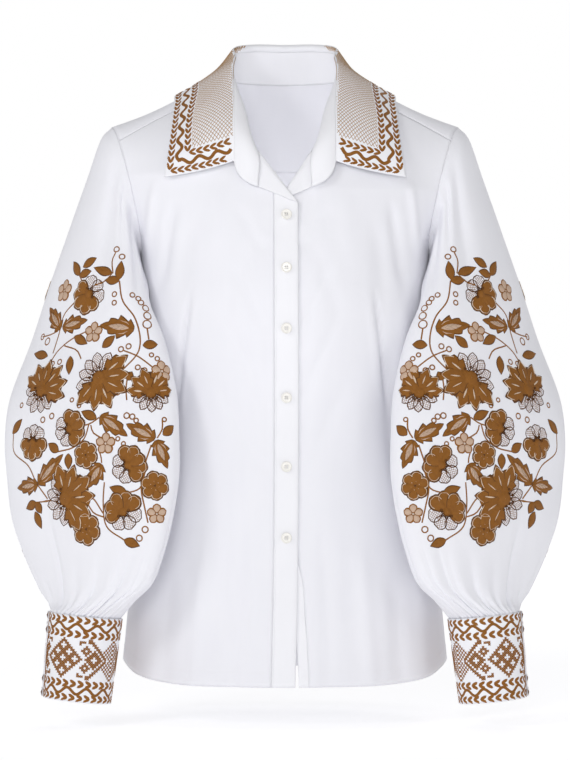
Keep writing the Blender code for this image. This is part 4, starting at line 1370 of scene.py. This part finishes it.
BERRIES = (
    (178, -168, 3), (172, -176, 3), (179, -216, 2.7), (179, -225, 2.6), (160, -217, 2.6), (154, -221, 2.8),
    (151, -225, 3), (146, -231, 3.6), (144, -239, 4.2), (144, -248, 4.6), (259, -260, 3.2), (253, -265, 4),
    (246, -289, 2.8), (238, -287, 2.8), (171, -274, 2.8), (163, -271, 2.8), (153, -293, 2.6), (146, -296, 2.6),
    (139, -280, 2.2), (133, -284, 2.4), (127, -311, 2.4), (183, -320, 2.8), (174, -319, 2.8), (280, -333, 2.6),
    (255, -348, 3), (245, -344, 3), (223, -327, 2.2), (215, -333, 2.2), (164, -343, 3), (158, -344, 2.8),
    (154, -348, 2.4), (125, -347, 2.2), (173, -367, 2.2), (167, -372, 2.2), (144, -460, 3.2), (150, -469, 3.2),
)
STEMS = (
    ((222, -223), (234, -236), (240, -258), (246, -278)), ((209, -255), (225, -263), (239, -274), (255, -300)),
    ((233, -270), (218, -276), (214, -284)), ((178, -170), (182, -179), (181, -194)),
    ((174, -202), (170, -223), (157, -241), (152, -275), (171, -298)), ((144, -252), (142, -264)),
    ((169, -275), (154, -281), (136, -294)), ((164, -306), (165, -315), (164, -327)),
    ((289, -363), (288, -383), (271, -397), (262, -414), (249, -431)), ((213, -354), (204, -352), (193, -345)),
    ((204, -352), (209, -367), (222, -377), (237, -381)), ((202, -353), (200, -360), (191, -366)),
    ((194, -378), (191, -384), (190, -392)), ((187, -412), (188, -435), (184, -458), (166, -471)),
    ((138, -373), (145, -395), (150, -418), (164, -423)), ((127, -347), (127, -357), (132, -366)),
    ((222, -428), (202, -427), (188, -444)), ((204, -436), (198, -444), (187, -448)),
    ((144, -400), (148, -419), (145, -435), (141, -453)), ((182, -194), (190, -202), (201, -206)),
    ((218, -195), (214, -203), (210, -210)), ((262, -435), (254, -434), (244, -432)),
    ((259, -260), (250, -258), (241, -254)),
)
# hidden side: turn round the sleeve in degrees, station, radius, open petals' direction
BACK_LILIES = ((-50, 5.6, 26, 120), (-56, 8.6, 26, 30), (-86, 7.0, 24, 200))
BACK_PEONIES = ((-50, 4.1, 18, 60), (-82, 5.3, 17, 150), (-80, 8.9, 18, 260), (-46, 10.0, 17, 0))
BACK_ROSETTES = ((-60, 7.1, 13), (-66, 3.6, 12), (-104, 8.2, 12))
BACK_STEM_STATIONS = (3.4, 10.2)
BACK_STEM_TURN, BACK_STEM_SWAY = -64, 14
STEM_WIDTH, RING_WIDTH = 2.3, 1.9


def sleeve_place(degrees, station):
    row = np.interp(station, ring[:, 0], np.arange(SLEEVE_RINGS + 1))
    return np.array((row, (degrees % 360) / 360 * SLEEVE_SIDES))


def embroider_sleeve(side, x_sign):
    surface = Surface(sleeve_cloth, x_sign, closed=True)
    pen = Pen(surface)
    for waypoints in STEMS:
        pen.stem(BROWN, waypoints, STEM_WIDTH)
    for x0, z0, x1, z1, width in TOOTHED_LEAVES:
        leaf_of(pen, (x0, z0), (x1, z1), width * 1.2)
    for x0, z0, x1, z1 in SMALL_LEAVES:
        leaf_of(pen, (x0, z0), (x1, z1), 10.0)
    for x, z, radius, towards in LILIES:
        lily(pen, surface.seen_at(x, z), radius * BLOOM, towards)
    for x, z, radius, towards in PEONIES:
        peony(pen, surface.seen_at(x, z), radius * BLOOM, towards)
    for x, z, radius in ROSETTES:
        rosette(pen, surface.seen_at(x, z), radius * BLOOM)
    for x, z, radius in SMALL_FLOWERS:
        small_flower(pen, surface.seen_at(x, z), radius * BLOOM)
    for x, z, radius in BERRIES:
        pen.stand(surface.seen_at(x, z))
        pen.ring(BROWN, 0, 0, radius, RING_WIDTH)
    climb = np.linspace(*BACK_STEM_STATIONS, 60)
    turns = BACK_STEM_TURN + BACK_STEM_SWAY * np.sin(1.9 * climb)
    winding = np.array([sleeve_place(turn, station) for turn, station in zip(turns, climb)])
    pen.track(BROWN, winding, STEM_WIDTH)
    for turn, station, radius, towards in BACK_LILIES:
        lily(pen, sleeve_place(turn, station), radius, towards)
    for turn, station, radius, towards in BACK_PEONIES:
        peony(pen, sleeve_place(turn, station), radius, towards)
    for turn, station, radius in BACK_ROSETTES:
        rosette(pen, sleeve_place(turn, station), radius)
    pen.finish(f"sleeve_{side}_flowers")


for side, x_sign in (("right", -1), ("left", 1)):
    bloom_chance = np.random.default_rng(23)
    embroider_sleeve(side, x_sign)

# %% [markdown]
# ## Marks and stitches that repeat
# Cross stitches, arrowheads and seam stitches repeat hundreds of times, so each kind is one small
# shape set on many places by Geometry Nodes. The first tree sets a shape on points that carry
# two directions. The second walks along a path and sets a thread every few millimetres.

# %% Two trees that repeat a shape


def tree_of(name, inputs):
    tree = bpy.data.node_groups.new(name, "GeometryNodeTree")
    tree.interface.new_socket("Places", in_out="INPUT", socket_type="NodeSocketGeometry")
    for label, kind in inputs.items():
        tree.interface.new_socket(label, in_out="INPUT", socket_type=f"NodeSocket{kind}")
    tree.interface.new_socket("Made", in_out="OUTPUT", socket_type="NodeSocketGeometry")
    entry, leave = tree.nodes.new("NodeGroupInput"), tree.nodes.new("NodeGroupOutput")

    def add(kind, values=None, **settings):
        made = tree.nodes.new(kind)
        for setting, value in settings.items():
            setattr(made, setting, value)
        for key, value in (values or {}).items():
            if isinstance(value, bpy.types.NodeSocket):
                tree.links.new(value, made.inputs[key])
            else:
                made.inputs[key].default_value = value
        return made

    return tree, entry.outputs, leave.inputs, add


def direction(add, name):
    return add("GeometryNodeInputNamedAttribute", {"Name": name}, data_type="FLOAT_VECTOR").outputs[0]


def finish_tree(tree, entry, leave, add, instances):
    real = add("GeometryNodeRealizeInstances", {0: instances})
    smooth_faces = add("GeometryNodeSetShadeSmooth", {0: real.outputs[0]})
    finished = add("GeometryNodeSetMaterial", {0: smooth_faces.outputs[0], "Material": entry["Finish"]})
    tree.links.new(finished.outputs[0], leave["Made"])
    return tree


def marks_tree():
    tree, entry, leave, add = tree_of("marks_on_places", {"Mark": "Object", "Finish": "Material"})
    mark = add("GeometryNodeObjectInfo", {"Object": entry["Mark"]})
    ways = {"Primary Axis": direction(add, "up"), "Secondary Axis": direction(add, "along")}
    turned = add("FunctionNodeAxesToRotation", ways, primary_axis="Z", secondary_axis="X")
    values = {0: entry["Places"], "Instance": mark.outputs["Geometry"], "Rotation": turned.outputs[0]}
    return finish_tree(tree, entry, leave, add, add("GeometryNodeInstanceOnPoints", values).outputs[0])


def stitches_tree():
    inputs = {"Spacing": "Float", "Length": "Float", "Width": "Float", "Finish": "Material"}
    tree, entry, leave, add = tree_of("stitches_along_a_path", inputs)
    curve = add("GeometryNodeMeshToCurve", {0: entry["Places"]})
    values = {"Curve": curve.outputs[0], "Length": entry["Spacing"]}
    even = add("GeometryNodeResampleCurve", values, mode="LENGTH")
    tangent = add("GeometryNodeInputTangent").outputs[0]
    ways = {"Primary Axis": direction(add, "up"), "Secondary Axis": tangent}
    turned = add("FunctionNodeAxesToRotation", ways, primary_axis="Z", secondary_axis="X")
    ball = add("GeometryNodeMeshUVSphere", {"Segments": 5, "Rings": 3, "Radius": 0.5})
    size = add("ShaderNodeCombineXYZ", {0: entry["Length"], 1: entry["Width"], 2: entry["Width"]})
    values = {0: even.outputs[0], "Instance": ball.outputs[0]}
    values |= {"Rotation": turned.outputs[0], "Scale": size.outputs[0]}
    return finish_tree(tree, entry, leave, add, add("GeometryNodeInstanceOnPoints", values).outputs[0])


MARKS, STITCHES = marks_tree(), stitches_tree()


def repeat(name, tree, points, up, along, edges, slot, **inputs):
    """Runs a tree on places in millimetres, and keeps the result as a plain mesh."""
    mesh = bpy.data.meshes.new(name)
    mesh.from_pydata(points * MM, edges, [])
    for label, values in (("up", up), ("along", along)):
        layer = mesh.attributes.new(label, "FLOAT_VECTOR", "POINT")
        layer.data.foreach_set("vector", values.astype(np.float32).reshape(-1))
    holder = bpy.data.objects.new(name + "_places", mesh)
    bpy.context.scene.collection.objects.link(holder)
    modifier = holder.modifiers.new("repeat", "NODES")
    modifier.node_group = tree
    for item in tree.interface.items_tree:
        if item.in_out == "INPUT" and item.name in inputs:
            modifier[item.identifier] = inputs[item.name]
    graph = bpy.context.evaluated_depsgraph_get()
    made = bpy.data.meshes.new_from_object(holder.evaluated_get(graph))
    bpy.data.objects.remove(holder)
    piece = bpy.data.objects.new(name, made)
    bpy.context.scene.collection.objects.link(piece)
    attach(piece, "root")
    print(name, "has", len(made.polygons), "faces")
    return piece


# %% [markdown]
# ### The shapes that repeat
# A cross stitch is two short threads over each other. An arrowhead is two leaves that meet at
# their tips. A chevron is the same with longer arms. Each is drawn flat, pointing along x.

# %% Small shapes


def shape_of(name, arms, height):
    """A shape of domed arms, each from a start to an end with a width, in millimetres."""
    points, faces = [], []
    for start, end, width, blunt in arms:
        start, end = np.array(start, float), np.array(end, float)
        way = unit(end - start)
        side = np.array((-way[1], way[0]))
        first = len(points)
        shares = np.linspace(0, 1, 5)
        for share in shares:
            half = width / 2 * max(0.12, math.sin(math.pi * share) ** blunt)
            middle = start + (end - start) * share
            for t in (-1, 0, 1):
                x, y = middle - side * half * t * -1
                points.append((x, y, height if t == 0 else -SUNK))
        for row in range(len(shares) - 1):
            for column in range(2):
                a = first + row * 3 + column
                faces.append((a, a + 3, a + 4, a + 1))
    mesh = bpy.data.meshes.new(name)
    mesh.from_pydata((np.array(points) * MM).tolist(), [], faces)
    return bpy.data.objects.new(name, mesh)


CROSS_ARMS = (((-1.3, -1.3), (1.3, 1.3), 1.7, 0.2), ((-1.3, 1.3), (1.3, -1.3), 1.7, 0.2))
ARROWHEAD_ARMS = (((-4.4, 3.5), (3.7, 0.0), 3.7, 0.3), ((-4.4, -3.5), (3.7, 0.0), 3.7, 0.3))
CHEVRON_ARMS = (((-3.4, 3.7), (3.4, -0.3), 4.2, 0.35), ((-3.4, -3.7), (3.4, 0.3), 4.2, 0.35))
CROSS = shape_of("cross_shape", CROSS_ARMS, 0.5)
ARROWHEAD = shape_of("arrow_shape", ARROWHEAD_ARMS, 0.55)
CHEVRON = shape_of("chevron_shape", CHEVRON_ARMS, 0.55)


def set_marks(name, surface, places, ways, mark, thread):
    """Sets one shape on many places of a surface, each pointing along its own way."""
    flip = np.array((surface.x_sign, 1, 1))
    up = unit(surface.blend(surface.normals, places)) * flip
    points = (surface.at(places) + surface.face * up * flip) * flip
    inputs = {"Mark": mark, "Finish": thread}
    return repeat(name, MARKS, points, up, ways * flip, [], GRAIN[thread], **inputs)


# %% [markdown]
# ## The cuffs' pattern
# Counted work follows a chart, as on squared paper. Two big lozenges with a net of white squares
# go round each cuff, with small stars and steps between them. Rules on the distances from a
# lozenge's centre say which squares are worked. Waves and rows of chevrons close it in.

# %% Chart of the cuffs
CHART_ROWS, CHART_REPEAT = 19, 51
FRONT_MIDDLE = math.pi / 2 - lap_start
CHART_CENTRE = FRONT_MIDDLE - 0.5


def worked(dx, dy):
    """Whether the square this far from a big lozenge's centre carries a cross stitch."""
    a, b = abs(dx), abs(dy)
    if a + b <= 9:
        p, q = dx + dy, dx - dy
        off_p, off_q = abs(p - 6 * round(p / 6)), abs(q - 6 * round(q / 6))
        return not (off_p + off_q <= 2 and (off_p, off_q) != (2, 0) and (off_p, off_q) != (0, 2))
    if a in (10, 11, 12) and b in (3, 4, 5):
        return (a, b) != (11, 4)
    if (a, b) in ((11, 2), (11, 6), (9, 4), (13, 4), (8, 7), (9, 8), (10, 8), (8, 8), (12, 8), (14, 8)):
        return True
    if abs(a - 15) + b <= 4:
        return abs(a - 15) + b > 1
    if 12 <= a <= 21 and a + b in (21, 22):
        return True
    return abs(a - 25) + abs(b - 4.5) <= 5.5 and (dx + dy) % 2 == 0


def cuff_place(share, round_it):
    """Places on the cuff, from a share of its height and an angle along the wound strip."""
    whole = 2 * math.pi
    round_it = CUFF_LAP + (np.asarray(round_it, float) - CUFF_LAP) % whole
    row, column = np.broadcast_arrays(share * CUFF_ROWS, round_it / (whole + CUFF_LAP) * CUFF_SIDES)
    return np.stack((row, column), -1).astype(float)


def cuff_ways(surface, places, sign):
    return unit(surface.steps(places)[1]) * sign


def embroider_cuff(side, x_sign):
    surface = Surface(cuff_cloth, x_sign, face=FIRM_WALL / 2)
    squares = []
    for row in range(CHART_ROWS):
        for column in range(2 * CHART_REPEAT):
            dx = (column + CHART_REPEAT // 2) % CHART_REPEAT - CHART_REPEAT // 2
            if worked(dx, row - CHART_ROWS // 2):
                down = 0.26 + 0.47 * (row + 0.5) / CHART_ROWS
                squares.append((down, CHART_CENTRE + math.pi * column / CHART_REPEAT))
    squares = np.array(squares)
    places = cuff_place(squares[:, 0], squares[:, 1])
    set_marks(f"cuff_{side}_crosses", surface, places, cuff_ways(surface, places, 1), CROSS, BROWN)
    turns = FRONT_MIDDLE + 2 * math.pi * (np.arange(28) + 0.5) / 28
    shares, rounds = (v.reshape(-1) for v in np.meshgrid((0.046, 0.212, 0.786, 0.95), turns, indexing="ij"))
    places = cuff_place(shares, rounds)
    set_marks(f"cuff_{side}_chevrons", surface, places, cuff_ways(surface, places, 1), CHEVRON, BROWN)
    pen = Pen(surface)
    for share in (0.128, 0.868):
        rounds = CUFF_LAP + 2 * math.pi * np.linspace(0.001, 0.999, 240)
        rise = 3.2 / 90 * np.sin(11 * rounds + (0.0 if share < 0.5 else 1.2))
        pen.track(BROWN, cuff_place(share + rise, rounds), 3.7, 0.6)
    pen.finish(f"cuff_{side}_waves")


for side, x_sign in (("right", -1), ("left", 1)):
    embroider_cuff(side, x_sign)

# %% [markdown]
# ## The collar's pattern
# Two rows of arrowheads with a wave between them run along the leaf's outer edge and turn up its
# front edges. The arrowheads point to the collar's tips. Inside them, a fine slanting net fills
# the leaf up to the fold. Distances are measured in from the edges, as for ribbon sewn on.

# %% Work the collar
leaf_surface = Surface(leaf_line, face=FIRM_WALL / 2)
leaf_down = lengths_along(leaf_line, 0)
leaf_across = lengths_along(leaf_line, 1)
leaf_rows, leaf_columns = leaf_line.shape[:2]


def row_at(column, distance):
    """The row this far in from the outer edge, in a column that may lie between two."""
    column = float(np.clip(column, 0, leaf_columns - 1.001))
    low, share = int(column), column - int(column)
    down = leaf_down[:, low] * (1 - share) + leaf_down[:, low + 1] * share
    return float(np.interp(down[-1] - distance, down, np.arange(leaf_rows)))


def column_at(row, distance):
    """The column this far in from the first front edge."""
    row = float(np.clip(row, 0, leaf_rows - 1.001))
    low, share = int(row), row - int(row)
    across = leaf_across[low] * (1 - share) + leaf_across[low + 1] * share
    return float(np.interp(distance, across, np.arange(leaf_columns)))


def front_distance(row, column):
    """How far a place is from the nearer front edge."""
    across = leaf_across[int(round(row))]
    gone = float(np.interp(column, np.arange(leaf_columns), across))
    return min(gone, across[-1] - gone)


def collar_tracks(from_edge, from_front):
    """Places along one front edge from the fold to the tip, then on from the tip to the back."""
    row = row_at(3, from_edge)
    for _ in range(4):
        column = column_at(row, from_front)
        row = row_at(column, from_edge)
    front_rows = np.linspace(3.5, row, 40)
    down = np.array([(r, column_at(r, from_front)) for r in front_rows])
    back_columns = np.linspace(column, (leaf_columns - 1) / 2, 90)
    outer = np.array([(row_at(c, from_edge), c) for c in back_columns])
    return down, outer


def mirrored(places):
    return np.stack((places[:, 0], leaf_columns - 1 - places[:, 1]), -1)


def spaced(places, pitch, skip=0.0):
    """Evenly spaced places on a track, and the way that the track runs at each."""
    points = leaf_surface.at(places)
    gone = lengths_along(points[:, None], 0)[:, 0]
    stops = np.arange(skip, gone[-1] - pitch * 0.3, pitch)
    found = np.stack([np.interp(stops, gone, places[:, k]) for k in (0, 1)], -1)
    ways = np.stack([np.interp(stops, gone, np.gradient(points, axis=0)[:, k]) for k in range(3)], -1)
    return found, unit(ways)


arrow_places, arrow_ways = [], []
for from_edge, from_front in ((5.2, 5.0), (25.5, 22.5)):
    down, outer = collar_tracks(from_edge, from_front)
    for turn_over in (False, True):
        down_track, outer_track = (mirrored(p) if turn_over else p for p in (down, outer))
        found, ways = spaced(down_track[::-1], 7.7, 5.0)
        arrow_places.append(found)
        arrow_ways.append(-ways)
        found, ways = spaced(outer_track, 7.7, 5.0)
        arrow_places.append(found)
        arrow_ways.append(-ways)
arrow_places, arrow_ways = np.concatenate(arrow_places), np.concatenate(arrow_ways)
set_marks("collar_arrowheads", leaf_surface, arrow_places, arrow_ways, ARROWHEAD, BROWN)

pen = Pen(leaf_surface)
down, outer = collar_tracks(15.3, 13.6)
whole = np.concatenate((down, outer[1:-1], mirrored(outer)[::-1], mirrored(down)[::-1][1:]))
found, _ = spaced(whole, 1.6)
pen.track(BROWN, found, 4.7, 0.6, 2.8 * np.sin(np.arange(len(found)) * 1.6 * 2 * math.pi / 20))
NET_PITCH = 4.1
edge_across = leaf_across[-1]
for slant in (-1, 1):
    for first in np.arange(-60, edge_across[-1] + 60, NET_PITCH):
        inward = np.arange(30.5, 100, 2.0)
        across = first + slant * (inward - 30)
        columns = np.interp(across, edge_across, np.arange(leaf_columns))
        room = np.array([leaf_down[-1, int(round(c))] for c in columns])
        rows = np.array([row_at(c, d) for c, d in zip(columns, inward)])
        from_front = np.array([front_distance(r, c) for r, c in zip(rows, columns)])
        from_middle = np.abs(across - edge_across[-1] / 2)
        inside = (from_front > 27) & (inward < room - 1.5 - 8 * smooth((80 - from_middle) / 20))
        runs = np.split(np.flatnonzero(inside), np.flatnonzero(np.diff(np.flatnonzero(inside)) > 1) + 1)
        for run in runs:
            if len(run) > 1:
                pen.track(LATTICE, np.stack((rows, columns), -1)[run], 1.15, 0.25)
pen.finish("collar_work")

# %% [markdown]
# ## Seams
# A shirt shows its making in its stitches. One row holds the hems and the yoke, one runs close to
# each edge of the button band, and one runs round the collar and the cuffs, close to the edge.

# %% Sew the seams


def sew(name, runs, spacing=2.5, length=1.9, width=0.55):
    """Rows of stitches along runs of places, each run on its own surface."""
    points, ups, edges, count = [], [], [], 0
    for surface, places in runs:
        flip = np.array((surface.x_sign, 1, 1))
        normal = unit(surface.blend(surface.normals, places))
        points.append((surface.at(places) + normal * (surface.face + 0.08)) * flip)
        ups.append(normal * flip)
        edges += [(count + n, count + n + 1) for n in range(len(places) - 1)]
        count += len(places)
    points, ups = np.concatenate(points), np.concatenate(ups)
    inputs = {"Spacing": spacing * MM, "Length": length * MM, "Width": width * MM}
    inputs["Finish"] = sewing.material
    return repeat(name, STITCHES, points, ups, ups, edges, "white_cotton", **inputs)


def line_of(row, first, last, count=160):
    return np.stack((np.full(count, float(row)), np.linspace(first, last, count)), -1)


def column_of(column, first, last, count=160):
    return np.stack((np.linspace(first, last, count), np.full(count, float(column))), -1)


def hem_row(surface):
    """The row of a body piece that lies the hem's depth above its edge."""
    return HEM_TURN / np.linalg.norm(surface.grid[1, 5] - surface.grid[0, 5])


back_surface = Surface(back_relief_grid, face=-WALL / 2)
hems = [(back_surface, line_of(hem_row(back_surface), 0, BACK_COLUMNS, 300))]
seams, bands = [], []
for side, x_sign in (("right", -1), ("left", 1)):
    surface = Surface(front_relief_grids[side], x_sign)
    hems.append((surface, line_of(hem_row(surface), 0, FRONT_COLUMNS, 200)))
    band_surface = Surface(fronts[side][1], x_sign, face=FIRM_WALL / 2)
    last = band_surface.rows - 1
    if side == "right":
        bands += [(band_surface, column_of(c, 1, last - 6, 300)) for c in (1.2, 13.0)]
    cuff_surface = Surface(cuff_cloth, x_sign, face=FIRM_WALL / 2)
    seams += [(cuff_surface, line_of(r, 1, CUFF_SIDES - 1, 200)) for r in (0.5, CUFF_ROWS - 0.5)]
yoke_surface = Surface(yoke_cloth, face=-WALL / 2)
seams += [(yoke_surface, line_of(r, 2, 110)) for r in (1.0, 31.0)]
down, outer = collar_tracks(1.6, 1.6)
whole = np.concatenate((down, outer[1:-1], mirrored(outer)[::-1], mirrored(down)[::-1][1:]))
seams.append((leaf_surface, whole))
sew("hem_stitches", hems)
sew("band_stitches", bands)
sew("seam_stitches", seams)

# %% [markdown]
# ## Buttons
# The imported model's buttons already have the right shape, with a rim and four holes. They only
# # need the cast plastic.

# %% Finish the buttons
for node_name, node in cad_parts.items():
    if "button" in node_name:
        node.data.materials.clear()
        node.data.materials.append(plastic.material)

# %% [markdown]
# ## The studio
# A pale floor and white surroundings, with soft lights from the upper left, the front, the right
# and behind, let the folds show without hard shadows. A small light inside the neck stands for
# what comes through the cloth. The floor glows a little, less near the shirt, so that a faint
# shadow shows under it. The camera stands level, square to the front.

# %% Floor, lights and camera
FLOOR_Z = -0.668
SKY_LIGHT = 0.38  # the surroundings light the shirt less brightly than they look
pale = Finish("pale_studio_floor", (0.5, 0.5, 0.505), 0.9)
place = pale.node("ShaderNodeTexCoord", output="Object")
away = pale.node("ShaderNodeVectorMath", {"operation": "LENGTH"}, {0: place}, output="Value")
far = pale.node("ShaderNodeMapRange", {}, {"Value": away, "From Min": 0.8, "From Max": 5.0})
pale.set("Emission Color", pale.mix(far, (0.675, 0.675, 0.685), (0.83, 0.83, 0.84)))
pale.set("Emission Strength", 1.0)
pale.set("Base Color", pale.mix(pale.noise(300), (0.495, 0.495, 0.5), (0.505, 0.505, 0.51)))
floor_mesh = bpy.data.meshes.new("studio_floor")
corners = [(-30, -30, FLOOR_Z), (30, -30, FLOOR_Z), (30, 30, FLOOR_Z), (-30, 30, FLOOR_Z)]
floor_mesh.from_pydata(corners, [], [(0, 1, 2, 3)])
floor_mesh.materials.append(pale.material)
floor = bpy.data.objects.new("studio_floor", floor_mesh)
bpy.context.scene.collection.objects.link(floor)

world = bpy.data.worlds.new("white_studio")
world.use_nodes = True
sky = world.node_tree.nodes["Background"]
sky.inputs["Color"].default_value = (1.0, 1.0, 1.0, 1)
camera_ray = world.node_tree.nodes.new("ShaderNodeLightPath").outputs["Is Camera Ray"]
brightness = world.node_tree.nodes.new("ShaderNodeMapRange")
brightness.inputs["To Min"].default_value = SKY_LIGHT
brightness.inputs["To Max"].default_value = 1.0
world.node_tree.links.new(camera_ray, brightness.inputs["Value"])
world.node_tree.links.new(brightness.outputs["Result"], sky.inputs["Strength"])
bpy.context.scene.world = world
bpy.context.scene.view_settings.view_transform = "Standard"


def soft_light(name, place, aim, size, power):
    light = bpy.data.lights.new(name, "AREA")
    light.shape = "DISK"
    light.size = size
    light.energy = power
    made = bpy.data.objects.new(name, light)
    made.location = place
    turned = (np.array(aim) - place) / np.linalg.norm(np.array(aim) - place)
    made.rotation_euler = Vector(turned).to_track_quat("-Z", "Y").to_euler()
    bpy.context.scene.collection.objects.link(made)
    return made


soft_light("key_light", (-1.9, -1.9, 1.2), (0, 0, -0.3), 0.8, 17)
soft_light("front_light", (-0.25, -3.2, 0.45), (0, 0, -0.25), 0.9, 21)
soft_light("side_light", (2.0, -1.6, 0.3), (0, 0, -0.3), 1.0, 5)
soft_light("neck_light", (0, -0.03, -0.19), (0, 0.06, 0.0), 0.1, 0.12).visible_camera = False
soft_light("back_light", (0.9, 2.7, 1.2), (0, 0, -0.3), 1.2, 16)

CAMERA_DISTANCE = 3.0
CAMERA_Z = -0.306
VIEW_HEIGHT = 0.8208
lens = bpy.data.cameras.new("front_camera")
lens.sensor_width = 36
lens.lens = 36 * CAMERA_DISTANCE / VIEW_HEIGHT
camera = bpy.data.objects.new("front_camera", lens)
camera.location = (0, -CAMERA_DISTANCE, CAMERA_Z)
camera.rotation_euler = (math.radians(90), 0, 0)
bpy.context.scene.collection.objects.link(camera)
bpy.context.scene.camera = camera
print("camera stands", CAMERA_DISTANCE, "m in front")
